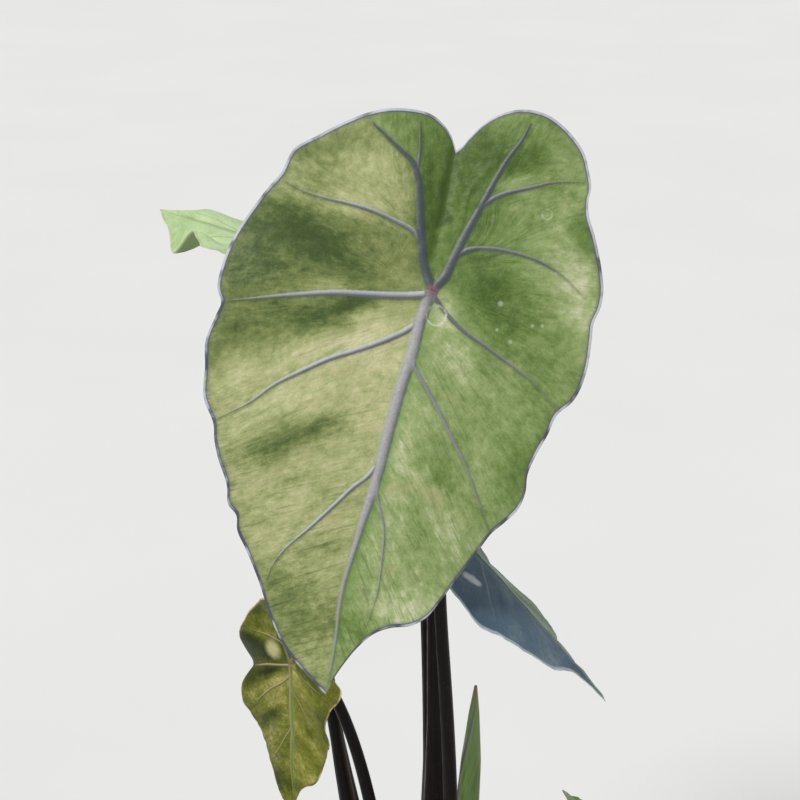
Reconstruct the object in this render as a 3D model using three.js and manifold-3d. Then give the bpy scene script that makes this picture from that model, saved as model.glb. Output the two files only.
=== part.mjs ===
// A black stem colocasia in a round clay pot. Millimetres, +Z up, origin at the centre of the
// pot's flat foot, with the large front leaf facing -Y.
import * as THREE from 'three';
import { mergeVertices } from 'three/addons/utils/BufferGeometryUtils.js';
import Module from 'manifold-3d';

const wasm = await Module();
wasm.setup();

// Driving dimensions of the pot and what fills it
const GAP = 0.35;
const POT_HEIGHT = 165;
const POT_FOOT_RADIUS = 66;
const POT_RIM_RADIUS = 95;
const POT_WALL = 5.5;
const POT_FLOOR = 8;
const POT_EDGE = 2;
const RIM_BAND_HEIGHT = 30;
const RIM_BAND_DEPTH = 4;
const DRAIN_RADIUS = 5;
const DRAIN_DISTANCE = 34;
const DRAIN_COUNT = 3;
const DRAIN_SIDES = 16;
const POT_SIDES = 48;
const SOIL_TOP = 148;
const SOIL_LUMP = 1.6;
const SOIL_CLEARANCE = 1;
const SOIL_SIDES = 40;
const CORM_CENTRE = new THREE.Vector2(0, -5);
const CORM_SIDES = 32;
const STALK_FOOT = 140;
const STALK_COLOUR = 0x1a110e;

// Driving dimensions of the leaves, for a blade of full size (scale 1)
const BLADE_THICKNESS = 1.0;
const FOLD_SOFTNESS = 4;
const RIB_DEPTH_RATIO = 0.75;
const STUB_LENGTH = 9;
const STALK_SIDES = 10;
const STALK_STEPS = 14;
const SOCKET_STEPS = 3;
const STUB_STEPS = 3;
const ROLL_STEPS = 20;
const RINGS_LARGE = [0.2, 0.4, 0.6, 0.8, 0.92, 1];
const RINGS_SMALL = [0.35, 0.7, 1];

// The margin of a full-size blade as [across, towards the tip] from the stalk's attachment,
// starting at the bottom of the notch between the lobes, down the left side and up the right
const TIP_INDEX = 31;
const MARGIN = [
  [-5.8, -67.8], [-10, -74.2], [-21.4, -81.2], [-34.5, -80.3], [-48.2, -75.7], [-60.9, -67.4],
  [-71.8, -57.8], [-80.6, -48.9], [-84, -35.4], [-89.6, -24], [-94.5, -12.8], [-98.8, 0.7],
  [-100.3, 14.3], [-99, 26], [-95.9, 30.9], [-96.8, 37.6], [-98.7, 51.2], [-96.1, 63],
  [-93.3, 77.1], [-84.6, 89.6], [-82.8, 95.4], [-79.2, 102.7], [-71, 115.9], [-68.2, 124.3],
  [-63.3, 128.1], [-61.2, 134.9], [-55.6, 142.1], [-43.9, 158.3], [-36.9, 169.6],
  [-26.2, 183.4], [-9.5, 196.1], [0, 202],
  [1.5, 194.6], [4.9, 184.6], [9, 175.5], [16.3, 165.6], [22.6, 161.6], [30.7, 158.5],
  [37, 153.1], [41.9, 143.3], [45.9, 133.1], [54.2, 113.3], [57.2, 105.8], [62.1, 98.7],
  [66.7, 90.8], [67.8, 82.1], [66.5, 74], [67.9, 63.6], [70.9, 52.7], [72.8, 42.9],
  [78.8, 34.2], [80.6, 28.3], [81.2, 20], [79.5, 3.4], [78.5, -3.2], [80, -13],
  [79.2, -21.1], [76.7, -28.2], [69.2, -43.1], [62.7, -54.3], [61.2, -61.1], [61.3, -65.7],
  [57.4, -75.7], [54.7, -80.8], [46.1, -88.9], [31.1, -95], [16.7, -93.2], [6.2, -86],
  [-0.5, -76.3], [-4.5, -69.1],
];

// The ribs under a full-size blade, the stoutest first, each with its width at the start and at
// the end. A small blade has the first few alone
const RIBS = [
  { name: 'midrib', from: 6.5, to: 1.4, path: [
    [0, 0], [-2, 15], [-2, 47], [-3, 87], [-3.8, 110], [-5.2, 144], [-3.8, 165], [-0.5, 192]] },
  { name: 'left basal', from: 5, to: 1.4, path: [
    [0, 0], [-6.1, -9.4], [-12, -25], [-16.7, -41], [-21.3, -55], [-32, -61.3], [-44, -69]] },
  { name: 'right basal', from: 5, to: 1.4, path: [
    [0, 0], [5.2, -7.5], [8, -26], [12.8, -45], [19.3, -70], [24, -84]] },
  { name: 'left level', from: 4, to: 1.2, path: [
    [0, 2], [-28, 9.6], [-54, 15.6], [-88, 28]] },
  { name: 'right level', from: 3.4, to: 1.2, path: [
    [0, 2], [18, 14.3], [49, 26.6], [71, 39]] },
  { name: 'left second', from: 3.4, to: 1.2, path: [
    [-2, 18], [-20, 31.7], [-49, 52.4], [-78, 80]] },
  { name: 'right second', from: 3, to: 1.2, path: [
    [-2, 34], [17, 54], [37, 78], [54, 103]] },
  { name: 'left third', from: 3, to: 1.2, path: [
    [-3.2, 90], [-18, 110], [-37.4, 139.6], [-41, 152]] },
  { name: 'right third', from: 2.6, to: 1.2, path: [
    [-3, 97], [6.3, 115], [11, 147], [10.6, 160]] },
  { name: 'left basal side', from: 3, to: 1.2, path: [
    [-11.4, -22], [-23.6, -27], [-48, -29.7], [-73, -30.3]] },
  { name: 'right basal side', from: 2.6, to: 1.2, path: [
    [13, -47], [21, -53], [34, -60], [54, -68]] },
  { name: 'right arching', from: 3, to: 1.2, path: [
    [6, -12], [11, -22.6], [32, -27], [58, -25], [72, -16]] },
];

// The leaves: where each blade is attached, where its upper face and its tip point, its size, how
// it is folded and waved, and the foot and the two pulls of its stalk's curve
const LEAVES = [
  { name: 'front', colour: 0x74854f, at: [0, -70, 560], face: [0, -0.94, 0.342],
    tip: [-0.2542, -0.3307, -0.9088], scale: 1, mirror: false, skip: 1, rings: RINGS_LARGE,
    ribs: 12, fold: 0.1, droop: 11, arch: 3, wave: 2.4, ripples: 9, phase: 0.5,
    foot: [4, -12], rise: [6, 22, 380], reach: 108, radius: [9, 4.6, 3.7] },
  { name: 'right', colour: 0x4b5f73, at: [11, -52, 428], face: [0.63, -0.04, 0.775],
    tip: [0.44, -0.46, -0.77], scale: 0.578, mirror: true, skip: 2, rings: RINGS_SMALL,
    ribs: 7, fold: -0.173, droop: 5.3, arch: 1.7, wave: 3, ripples: 7, phase: 2.63,
    foot: [11, -34], rise: [19, -38, 320], reach: 26, radius: [8, 4, 3.2] },
  { name: 'left', colour: 0xbfe196, at: [-54, 31, 543], face: [0.3, -0.115, 0.947],
    tip: [-0.9, 0.27, 0.34], scale: 0.476, mirror: true, skip: 2, rings: RINGS_SMALL,
    ribs: 7, fold: 0.083, droop: 9.7, arch: 5.8, wave: 6.4, ripples: 8, phase: 2.2,
    foot: [-24, 2], rise: [-75, 30, 330], reach: 50, radius: [8, 4, 3] },
  { name: 'back', colour: 0x6b8246, at: [-10, 105, 450], face: [-0.1, 0.8, 0.59],
    tip: [-0.1, 0.59, -0.8], scale: 0.72, mirror: true, skip: 2, rings: RINGS_SMALL,
    ribs: 7, fold: 0.12, droop: 10, arch: 3, wave: 3.5, ripples: 9, phase: 1.1,
    foot: [2, 24], rise: [5, 40, 320], reach: 55, radius: [8.5, 4.4, 3.4] },
  { name: 'old', colour: 0xa09a45, at: [-74, -31, 340], face: [-0.7, -0.71, 0.05],
    tip: [-0.31, -0.425, -0.85], scale: 0.42, mirror: false, skip: 2, rings: RINGS_SMALL,
    ribs: 7, fold: 0.1, droop: 13.9, arch: 1, wave: 7.3, ripples: 7, phase: 1.96,
    foot: [-20, -20], rise: [-24, -14, 240], reach: 35, radius: [7.5, 3.8, 3] },
  { name: 'offset_one', colour: 0x6f8a48, at: [70, -76, 232], face: [0.45, -0.6, 0.66],
    tip: [0.35, -0.56, -0.75], scale: 0.34, mirror: true, skip: 2, rings: RINGS_SMALL,
    ribs: 5, fold: 0.12, droop: 10, arch: 3, wave: 3, ripples: 6, phase: 0.9,
    foot: [50, -38], rise: [53, -44, 190], reach: 20, radius: [4, 2.6, 2.1] },
  { name: 'offset_two', colour: 0x7b9650, at: [96, -8, 222], face: [0.76, 0.1, 0.64],
    tip: [0.62, 0.1, -0.78], scale: 0.3, mirror: false, skip: 2, rings: RINGS_SMALL,
    ribs: 5, fold: 0.12, droop: 10, arch: 3, wave: 3, ripples: 6, phase: 2.2,
    foot: [62, -22], rise: [66, -20, 190], reach: 20, radius: [4, 2.4, 1.9] },
];

// The rolled new leaf: its curve, its radius along it, the stations where its roll starts and is
// full, and the height and turns of the roll's outer edge
const ROLL = {
  colour: 0x5f7d3c,
  curve: [[21, 4, STALK_FOOT], [22, 5, 200], [25, 10, 260], [27, 12, 304]],
  radius: [[0, 6.5], [0.28, 4.4], [0.42, 4.2], [0.55, 6.2], [0.72, 5.6], [0.9, 3], [1, 0.8]],
  starts: 0.42,
  full: 0.55,
  edge: 1.8,
  turn: 5,
};

// Turns a closed geometry into a solid, and a solid back into a geometry
function toSolid(geometry) {
  geometry.deleteAttribute('normal');
  geometry.deleteAttribute('uv');
  const merged = mergeVertices(geometry, 1e-4);
  return new wasm.Manifold(new wasm.Mesh({
    numProp: 3,
    vertProperties: new Float32Array(merged.attributes.position.array),
    triVerts: new Uint32Array(merged.index.array),
  }));
}

function toGeometry(solid) {
  const mesh = solid.getMesh();
  const geometry = new THREE.BufferGeometry();
  geometry.setAttribute('position', new THREE.BufferAttribute(mesh.vertProperties, 3));
  geometry.setIndex(new THREE.BufferAttribute(mesh.triVerts, 1));
  geometry.computeVertexNormals();
  return geometry;
}

// A closed skin over rings of points that turn counter-clockwise about the way they run, with a
// flat fan over the first and the last ring
function skin(rings) {
  const sides = rings[0].length;
  const points = rings.flat();
  const indices = [];
  for (let ring = 0; ring + 1 < rings.length; ring += 1) {
    for (let side = 0; side < sides; side += 1) {
      const next = (side + 1) % sides;
      const low = ring * sides;
      const high = low + sides;
      indices.push(low + side, low + next, high + next);
      indices.push(low + side, high + next, high + side);
    }
  }
  for (const [ring, flip] of [[0, true], [rings.length - 1, false]]) {
    const centre = new THREE.Vector3();
    for (const point of rings[ring]) {
      centre.addScaledVector(point, 1 / sides);
    }
    points.push(centre);
    for (let side = 0; side < sides; side += 1) {
      const near = ring * sides + side;
      const far = ring * sides + (side + 1) % sides;
      indices.push(points.length - 1, flip ? far : near, flip ? near : far);
    }
  }
  const geometry = new THREE.BufferGeometry().setFromPoints(points);
  geometry.setIndex(indices);
  return geometry;
}

// Reads a list of [station, value] pairs at any station between the first and the last
function valueAt(pairs, station) {
  let index = 1;
  while (index < pairs.length - 1 && pairs[index][0] < station) {
    index += 1;
  }
  const [startStation, startValue] = pairs[index - 1];
  const [endStation, endValue] = pairs[index];
  return THREE.MathUtils.mapLinear(station, startStation, endStation, startValue, endValue);
}

// A round tube along part of a curve. grow widens it and sets its start back, for a socket
function tube(curve, from, to, steps, radiusAt, grow = 0) {
  const across = new THREE.Vector3(1, 0, 0);
  const rings = [];
  for (let step = 0; step <= steps; step += 1) {
    const station = from + (to - from) * step / steps;
    const centre = curve.getPointAt(station);
    const along = curve.getTangentAt(station);
    const up = new THREE.Vector3().crossVectors(along, across).normalize();
    const right = new THREE.Vector3().crossVectors(up, along);
    if (step === 0) {
      centre.addScaledVector(along, -grow);
    }
    const ring = [];
    for (let side = 0; side < STALK_SIDES; side += 1) {
      const turn = side / STALK_SIDES * Math.PI * 2;
      const radius = radiusAt(station, turn) + grow;
      ring.push(centre.clone()
        .addScaledVector(right, Math.cos(turn) * radius)
        .addScaledVector(up, Math.sin(turn) * radius));
    }
    rings.push(ring);
  }
  return skin(rings);
}

// The margin and ribs of one leaf, mirrored where the leaf is
function marginOf(leaf) {
  const points = MARGIN.filter((point, index) => index % leaf.skip === 0 || index === TIP_INDEX);
  return leaf.mirror ? points.map(([u, v]) => [-u, v]).reverse() : points;
}

// How far out a point of the blade lies, from 0 at the attachment to 1 at the margin
function reachOf(u, v, margin) {
  if (u === 0 && v === 0) {
    return 0;
  }
  for (let index = 0; index < margin.length; index += 1) {
    const [au, av] = margin[index];
    const [bu, bv] = margin[(index + 1) % margin.length];
    const whole = au * bv - av * bu;
    const first = (u * bv - v * bu) / whole;
    const second = (au * v - av * u) / whole;
    if (first >= -1e-9 && second >= -1e-9) {
      return first + second;
    }
  }
  return 1;
}

// The height of the blade over its flat plane: a fold at the midrib, sides and ends that bend
// back, and a margin in waves
function heightOf(u, v, reach, leaf) {
  const away = Math.hypot(u, FOLD_SOFTNESS) - FOLD_SOFTNESS;
  const waves = Math.sin(leaf.ripples * Math.atan2(u, v) + leaf.phase);
  return leaf.fold * away
    - leaf.droop * (u / 100) ** 2
    - leaf.arch * (v / 100) ** 2
    + leaf.wave * reach ** 3 * waves;
}

function bladePoint(u, v, reach, lift, leaf) {
  const height = heightOf(u, v, reach, leaf) * leaf.scale;
  return new THREE.Vector3(u * leaf.scale, -v * leaf.scale, height + lift);
}

// The thin blade: two faces split into triangles alike, joined round the margin
function bladeSheet(leaf, margin) {
  const count = margin.length;
  const points = [];
  for (const lift of [BLADE_THICKNESS / 2, -BLADE_THICKNESS / 2]) {
    points.push(bladePoint(0, 0, 0, lift, leaf));
    for (const reach of leaf.rings) {
      for (const [u, v] of margin) {
        points.push(bladePoint(u * reach, v * reach, reach, lift, leaf));
      }
    }
  }
  const below = points.length / 2;
  const faces = [];
  for (let side = 0; side < count; side += 1) {
    const next = (side + 1) % count;
    faces.push([0, 1 + side, 1 + next]);
    for (let ring = 1; ring < leaf.rings.length; ring += 1) {
      const inner = 1 + (ring - 1) * count;
      const outer = inner + count;
      faces.push([inner + side, outer + side, outer + next]);
      faces.push([inner + side, outer + next, inner + next]);
    }
  }
  const indices = faces.flat();
  for (const [a, b, c] of faces) {
    indices.push(below + a, below + c, below + b);
  }
  const edge = 1 + (leaf.rings.length - 1) * count;
  for (let side = 0; side < count; side += 1) {
    const here = edge + side;
    const next = edge + (side + 1) % count;
    indices.push(here, below + here, below + next);
    indices.push(here, below + next, next);
  }
  const geometry = new THREE.BufferGeometry().setFromPoints(points);
  geometry.setIndex(indices);
  return geometry;
}

// One rib: a three-sided bar along its path, with its two upper edges inside the blade
function ribBar(rib, leaf, margin) {
  const mirror = leaf.mirror ? -1 : 1;
  const path = rib.path.map(([u, v]) => [u * mirror, v]);
  const rings = path.map(([u, v], index) => {
    const before = path[Math.max(index - 1, 0)];
    const after = path[Math.min(index + 1, path.length - 1)];
    const along = new THREE.Vector2(after[0] - before[0], after[1] - before[1]).normalize();
    const share = index / (path.length - 1);
    const width = THREE.MathUtils.lerp(rib.from, rib.to, share);
    const half = width / 2;
    const centre = bladePoint(u, v, reachOf(u, v, margin), 0, leaf);
    const left = new THREE.Vector3(along.y, along.x, 0).multiplyScalar(half * leaf.scale);
    const down = new THREE.Vector3(0, 0, -BLADE_THICKNESS / 2 - width * RIB_DEPTH_RATIO * leaf.scale);
    return [centre.clone().sub(left), centre.clone().add(down), centre.clone().add(left)];
  });
  return skin(rings);
}

// The stalk's curve from its foot in the crown to the blade, which it meets square on
function stalkCurve(leaf) {
  const at = new THREE.Vector3(...leaf.at);
  const face = new THREE.Vector3(...leaf.face).normalize();
  return new THREE.CubicBezierCurve3(
    new THREE.Vector3(...leaf.foot, STALK_FOOT),
    new THREE.Vector3(...leaf.rise),
    at.clone().addScaledVector(face, -leaf.reach),
    at,
  );
}

function stalkRadius(leaf) {
  const [foot, middle, top] = leaf.radius;
  const stations = [[0, foot], [0.1, foot * 0.92], [0.32, middle], [0.9, top], [1, top * 1.5]];
  return (station) => valueAt(stations, station);
}

// A mesh with its own plain material
function addMesh(parent, name, geometry, colour, roughness) {
  const material = new THREE.MeshStandardMaterial({ color: colour, roughness, metalness: 0 });
  const mesh = new THREE.Mesh(geometry, material);
  mesh.name = name;
  parent.add(mesh);
  return mesh;
}

// A blade with its ribs and the stub of its stalk, in its own frame: X across, Y away from the
// tip, Z out of the upper face
function addBlade(parent, leaf, curve) {
  const margin = marginOf(leaf);
  const face = new THREE.Vector3(...leaf.face).normalize();
  const back = new THREE.Vector3(...leaf.tip).negate();
  back.addScaledVector(face, -back.dot(face)).normalize();
  const across = new THREE.Vector3().crossVectors(back, face);
  const placed = new THREE.Matrix4().makeBasis(across, back, face).setPosition(...leaf.at);
  let solid = toSolid(bladeSheet(leaf, margin));
  for (const rib of RIBS.slice(0, leaf.ribs)) {
    solid = solid.add(toSolid(ribBar(rib, leaf, margin)));
  }
  const stubStart = 1 - STUB_LENGTH * leaf.scale / curve.getLength();
  const stub = tube(curve, stubStart, 1, STUB_STEPS, stalkRadius(leaf));
  stub.applyMatrix4(placed.clone().invert());
  solid = solid.add(toSolid(stub));
  const mesh = addMesh(parent, `${leaf.name}_blade`, toGeometry(solid), leaf.colour, 0.45);
  mesh.applyMatrix4(placed);
}

// A leaf: its blade and its stalk, which ends just under the blade's stub. Returns the socket
// that the stalk's foot stands in
function addLeaf(parent, leaf) {
  const curve = stalkCurve(leaf);
  const length = curve.getLength();
  const radiusAt = stalkRadius(leaf);
  const end = 1 - (STUB_LENGTH * leaf.scale + GAP) / length;
  addBlade(parent, leaf, curve);
  const stalk = tube(curve, 0, end, STALK_STEPS, radiusAt);
  addMesh(parent, `${leaf.name}_petiole`, stalk, STALK_COLOUR, 0.35);
  const socketEnd = end * SOCKET_STEPS / STALK_STEPS;
  return toSolid(tube(curve, 0, socketEnd, SOCKET_STEPS, radiusAt, GAP));
}

// The rolled new leaf: a slim stalk that swells into a roll with one winding edge. Returns its
// socket
function addNewLeaf(parent) {
  const curve = new THREE.CatmullRomCurve3(ROLL.curve.map((point) => new THREE.Vector3(...point)));
  const radiusAt = (station, turn) => {
    const rolled = THREE.MathUtils.smoothstep(station, ROLL.starts, ROLL.full) * (1 - station);
    const edge = Math.max(0, Math.cos(turn - station * ROLL.turn)) ** 4;
    return valueAt(ROLL.radius, station) + ROLL.edge * rolled * edge;
  };
  addMesh(parent, 'new_leaf', tube(curve, 0, 1, ROLL_STEPS, radiusAt), ROLL.colour, 0.4);
  return toSolid(tube(curve, 0, SOCKET_STEPS / ROLL_STEPS, SOCKET_STEPS, radiusAt, GAP));
}

// The radius of the pot's outer wall at a height, without the rim band, and of its inner wall
function outerWall(z) {
  const top = POT_RIM_RADIUS - RIM_BAND_DEPTH;
  return THREE.MathUtils.mapLinear(z, 0, POT_HEIGHT, POT_FOOT_RADIUS, top);
}

function innerWall(z) {
  return outerWall(z) - POT_WALL;
}

// The pot: a turned wall with a rim band, and drain holes round the middle of its floor
function addPot(parent) {
  const bandFoot = POT_HEIGHT - RIM_BAND_HEIGHT;
  const profile = [
    [0, 0], [POT_FOOT_RADIUS - POT_EDGE, 0], [outerWall(POT_EDGE), POT_EDGE],
    [outerWall(bandFoot), bandFoot], [outerWall(bandFoot) + RIM_BAND_DEPTH, bandFoot + POT_EDGE],
    [POT_RIM_RADIUS, POT_HEIGHT - POT_EDGE], [POT_RIM_RADIUS - POT_EDGE, POT_HEIGHT],
    [innerWall(POT_HEIGHT) + POT_EDGE, POT_HEIGHT],
    [innerWall(POT_HEIGHT - POT_EDGE), POT_HEIGHT - POT_EDGE],
    [innerWall(POT_FLOOR), POT_FLOOR], [0, POT_FLOOR],
  ].map(([radius, z]) => new THREE.Vector2(radius, z));
  const turned = new THREE.LatheGeometry(profile, POT_SIDES).rotateX(Math.PI / 2);
  let solid = toSolid(turned);
  for (let hole = 0; hole < DRAIN_COUNT; hole += 1) {
    const turn = hole / DRAIN_COUNT * Math.PI * 2;
    const drill = new THREE.CylinderGeometry(DRAIN_RADIUS, DRAIN_RADIUS, POT_FLOOR * 3, DRAIN_SIDES);
    drill.rotateX(Math.PI / 2);
    drill.translate(Math.cos(turn) * DRAIN_DISTANCE, Math.sin(turn) * DRAIN_DISTANCE, 0);
    solid = solid.subtract(toSolid(drill));
  }
  addMesh(parent, 'pot', toGeometry(solid), 0xa9623f, 0.85);
}

// The corm's turned outline, widened by grow all round
function cormSolid(grow) {
  const profile = [
    [0, 104 - grow], [20 + grow, 105 - grow], [33 + grow, 114 - grow], [39 + grow, 128],
    [40 + grow, 142], [37 + grow, 149 + grow], [30 + grow, 152 + grow], [0, 154 + grow],
  ].map(([radius, z]) => new THREE.Vector2(radius, z));
  const turned = new THREE.LatheGeometry(profile, CORM_SIDES).rotateX(Math.PI / 2);
  turned.translate(CORM_CENTRE.x, CORM_CENTRE.y, 0);
  return toSolid(turned);
}

function addCorm(parent, sockets) {
  let solid = cormSolid(0);
  for (const socket of sockets) {
    solid = solid.subtract(socket);
  }
  addMesh(parent, 'corm', toGeometry(solid), 0x4a3526, 0.9);
}

// The soil fills the pot to below its rim, with a lumpy top, a hollow for the corm and a plain
// hole for each stalk
function addSoil(parent, sockets) {
  const wall = (z) => innerWall(z) - SOIL_CLEARANCE;
  const levels = [
    { z: POT_FLOOR + GAP, radius: wall(POT_FLOOR), lump: 0 },
    { z: SOIL_TOP - 3, radius: wall(SOIL_TOP - 3), lump: 0 },
  ];
  for (const [share, rise] of [[0.96, -1], [0.82, 0], [0.66, 0.5], [0.52, 1]]) {
    levels.push({ z: SOIL_TOP + rise, radius: wall(SOIL_TOP) * share, lump: SOIL_LUMP });
  }
  const rings = levels.map(({ z, radius, lump }, level) => {
    const ring = [];
    for (let side = 0; side < SOIL_SIDES; side += 1) {
      const turn = side / SOIL_SIDES * Math.PI * 2;
      const bump = lump * Math.sin(side * 2.3 + level * 1.7) * Math.cos(side * 1.1 - level * 2.9);
      ring.push(new THREE.Vector3(Math.cos(turn) * radius, Math.sin(turn) * radius, z + bump));
    }
    return ring;
  });
  let solid = toSolid(skin(rings)).subtract(cormSolid(GAP));
  for (const socket of sockets) {
    solid = solid.subtract(socket);
  }
  addMesh(parent, 'soil', toGeometry(solid), 0x2c221b, 1);
}

const plant = new THREE.Group();
addPot(plant);
const sockets = [addNewLeaf(plant)];
for (const leaf of LEAVES) {
  sockets.push(addLeaf(plant, leaf));
}
addCorm(plant, sockets);
addSoil(plant, sockets);

export default plant;
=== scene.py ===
# The looks of a black stem colocasia in a clay pot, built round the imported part. Lengths are in
# millimetres until a mesh is made, in the part's own frame: +Z up, the front leaf facing -Y.
import itertools
import math

import bpy
import numpy as np
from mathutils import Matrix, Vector


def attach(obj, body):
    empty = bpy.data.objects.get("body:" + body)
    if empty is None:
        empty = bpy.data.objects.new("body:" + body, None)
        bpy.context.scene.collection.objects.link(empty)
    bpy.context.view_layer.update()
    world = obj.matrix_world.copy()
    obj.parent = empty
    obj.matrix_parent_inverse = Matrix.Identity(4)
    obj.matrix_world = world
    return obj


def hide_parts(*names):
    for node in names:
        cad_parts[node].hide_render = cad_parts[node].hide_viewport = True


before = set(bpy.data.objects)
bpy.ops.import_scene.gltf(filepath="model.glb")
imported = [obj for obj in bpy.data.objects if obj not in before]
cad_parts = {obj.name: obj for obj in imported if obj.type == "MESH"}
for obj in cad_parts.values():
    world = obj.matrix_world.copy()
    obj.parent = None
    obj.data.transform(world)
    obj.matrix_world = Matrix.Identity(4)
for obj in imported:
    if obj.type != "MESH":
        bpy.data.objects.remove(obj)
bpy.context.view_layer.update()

MM = 0.001

# The camera: the photograph's view, with the front leaf's attachment at its own pixel
IMAGE_SIZE = 800
MM_PER_PIXEL = 0.48
CAMERA_TILT = math.radians(20)
CAMERA_DISTANCE = 1000
SENSOR_WIDTH = 36
ATTACHMENT_PIXEL = (432, 290)
FRONT_ATTACHMENT = (0, -70, 560)

# The pot, the soil and the corm
GAP = 0.35
POT_HEIGHT = 165
POT_FOOT_RADIUS = 66
POT_RIM_RADIUS = 95
POT_WALL = 5.5
POT_FLOOR = 8
RIM_BAND_HEIGHT = 30
RIM_BAND_DEPTH = 4
DRAIN_RADIUS = 5
DRAIN_DISTANCE = 34
DRAIN_COUNT = 3
POT_SIDES = 160
POT_STEP = 2
SOIL_TOP = 148
SOIL_CLEARANCE = 1
SOIL_SIDES = 260
SOIL_LIP = 0.6
SOIL_WALL_RINGS = 20
SOIL_TOP_RINGS = 64
CORM_CENTRE = (0, -5)
CORM_PROFILE = [(0, 104), (20, 105), (33, 114), (39, 128), (40, 142), (37, 149), (30, 152), (0, 154)]
CORM_RADIUS = max(radius for radius, _ in CORM_PROFILE)
CORM_STEP = 1.1
CORM_SIDES = 120
SCAR_INSET = 1.2
CROWN_SCRAPS = 9
SCRAP_BASE = 147
SCRAP_THICKNESS = 0.7
SCRAP_ROWS = 9
SCRAP_COLUMNS = 25
SCRAP_LAYERS = (1.0, 2.2)
STALK_FOOT = 140

# The soil's relief as layers of noise: height, width, length, seed
SOIL_RELIEF = [(1.4, 14, 14, 41), (0.7, 5, 5, 42), (0.35, 1.9, 1.9, 43)]

# The crumbs, bark chips and granules on the soil: how many are drawn, least and greatest size, and
# height as a share of the size
GRAINS = [(1500, 0.7, 2.4, 0.8), (420, 1.6, 4.6, 0.42), (230, 0.8, 2.1, 0.9)]
GRAIN_INSET = 4

# The length of an edge of a body of 20 equal faces, with a little to spare, if its corners are 1
# from its middle
ICOSAHEDRON_EDGE = 1.1

# The leaves, for a blade of full size
SHEET_THICKNESS = 0.95
EDGE_SHARE = 0.45
FOLD_SOFTNESS = 4
MARGIN_STEP = 0.7
STUB_LENGTH = 9
STUB_INSET = 0.7
STALK_SIDES = 56
STALK_STEP = 2.5

# The rings of a blade as shares of the way to its margin: evenly spread shares raised to a power,
# the last of them near the rim, and those of the rim
RING_SPREAD = 0.82
INNER_REACH = 0.975
RIM_REACHES = [0.985, 0.993, 1.0]

# The bead that rounds a blade's rim: how far out it lies and how high, in half thicknesses
BEAD = [(0.3, 0.55), (0.5, 0), (0.3, -0.55)]

# The sheath at a stalk's foot: the shares of the stalk where it starts and is full, the depth and
# the width of its groove, and the height, the place and the width of its lips
SHEATH_SHARES = (0.42, 0.16)
GROOVE_DEPTH = 0.3
GROOVE_WIDTH = 0.42
LIP_HEIGHT = 0.12
LIP_TURN = 0.62
LIP_WIDTH = 0.2

# A blade's relief as layers of noise: height, width, length, seed of its own. The net's runs along
# its lines, the flesh's over the blade
NET_RELIEF = [(0.2, 3.4, 24, 0), (0.6, 11, 30, 1)]
FLESH_RELIEF = [(0.5, 16, 16, 2), (0.16, 4, 4, 4)]
MARGIN_RELIEF = 1.1

# The margin of a full-size blade as (across, towards the tip) from the stalk's attachment, from
# the bottom of the notch down the left side to the tip and up the right side
LEFT_MARGIN = [
    (-5.8, -67.8), (-10, -74.2), (-21.4, -81.2), (-34.5, -80.3), (-48.2, -75.7), (-60.9, -67.4),
    (-71.8, -57.8), (-80.6, -48.9), (-84, -35.4), (-89.6, -24), (-94.5, -12.8), (-98.8, 0.7),
    (-100.3, 14.3), (-99, 26), (-95.9, 30.9), (-96.8, 37.6), (-98.7, 51.2), (-96.1, 63),
    (-93.3, 77.1), (-84.6, 89.6), (-82.8, 95.4), (-79.2, 102.7), (-71, 115.9), (-68.2, 124.3),
    (-63.3, 128.1), (-61.2, 134.9), (-55.6, 142.1), (-43.9, 158.3), (-36.9, 169.6),
    (-26.2, 183.4), (-9.5, 196.1), (0, 202),
]
RIGHT_MARGIN = [
    (0, 202), (1.5, 194.6), (4.9, 184.6), (9, 175.5), (16.3, 165.6), (22.6, 161.6),
    (30.7, 158.5), (37, 153.1), (41.9, 143.3), (45.9, 133.1), (54.2, 113.3), (57.2, 105.8),
    (62.1, 98.7), (66.7, 90.8), (67.8, 82.1), (66.5, 74), (67.9, 63.6), (70.9, 52.7),
    (72.8, 42.9), (78.8, 34.2), (80.6, 28.3), (81.2, 20), (79.5, 3.4), (78.5, -3.2), (80, -13),
    (79.2, -21.1), (76.7, -28.2), (69.2, -43.1), (62.7, -54.3), (61.2, -61.1), (61.3, -65.7),
    (57.4, -75.7), (54.7, -80.8), (46.1, -88.9), (31.1, -95), (16.7, -93.2), (6.2, -86),
    (-0.5, -76.3), (-4.5, -69.1), (-5.8, -67.8),
]

# The veins of a full-size blade, each as [(share along it, width)] and its path. The spine is the
# midrib and the two ribs that run back into the lobes; the others branch from it
SPINE = {
    "midrib": ([(0, 5.4), (0.42, 5), (0.55, 4), (0.66, 2.7), (0.78, 1.9), (1, 1)],
     [(0, 0), (-1.9, 15.4), (-1.6, 32.6), (-2.6, 46.8), (-3, 69.8), (-3, 100), (-3.8, 112),
      (-4.7, 132.7), (-5.2, 144.3), (-4.8, 156), (-2.3, 174), (-0.4, 196)]),
    "left basal": ([(0, 4.6), (0.6, 3.2), (1, 1)],
     [(0, 0), (-6.1, -9.4), (-12, -25), (-16.7, -40.8), (-20.4, -51), (-24, -56.5),
      (-32, -61.3), (-40.2, -66), (-48.4, -70.7)]),
    "right basal": ([(0, 4.6), (0.6, 2.8), (1, 1.2)],
     [(0, 0), (4.4, -7.5), (6.2, -16.2), (8.1, -26.4), (12.8, -45.2), (15.3, -55.5),
      (19.3, -70.2), (24, -81.8), (25.5, -89)]),
}
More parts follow.
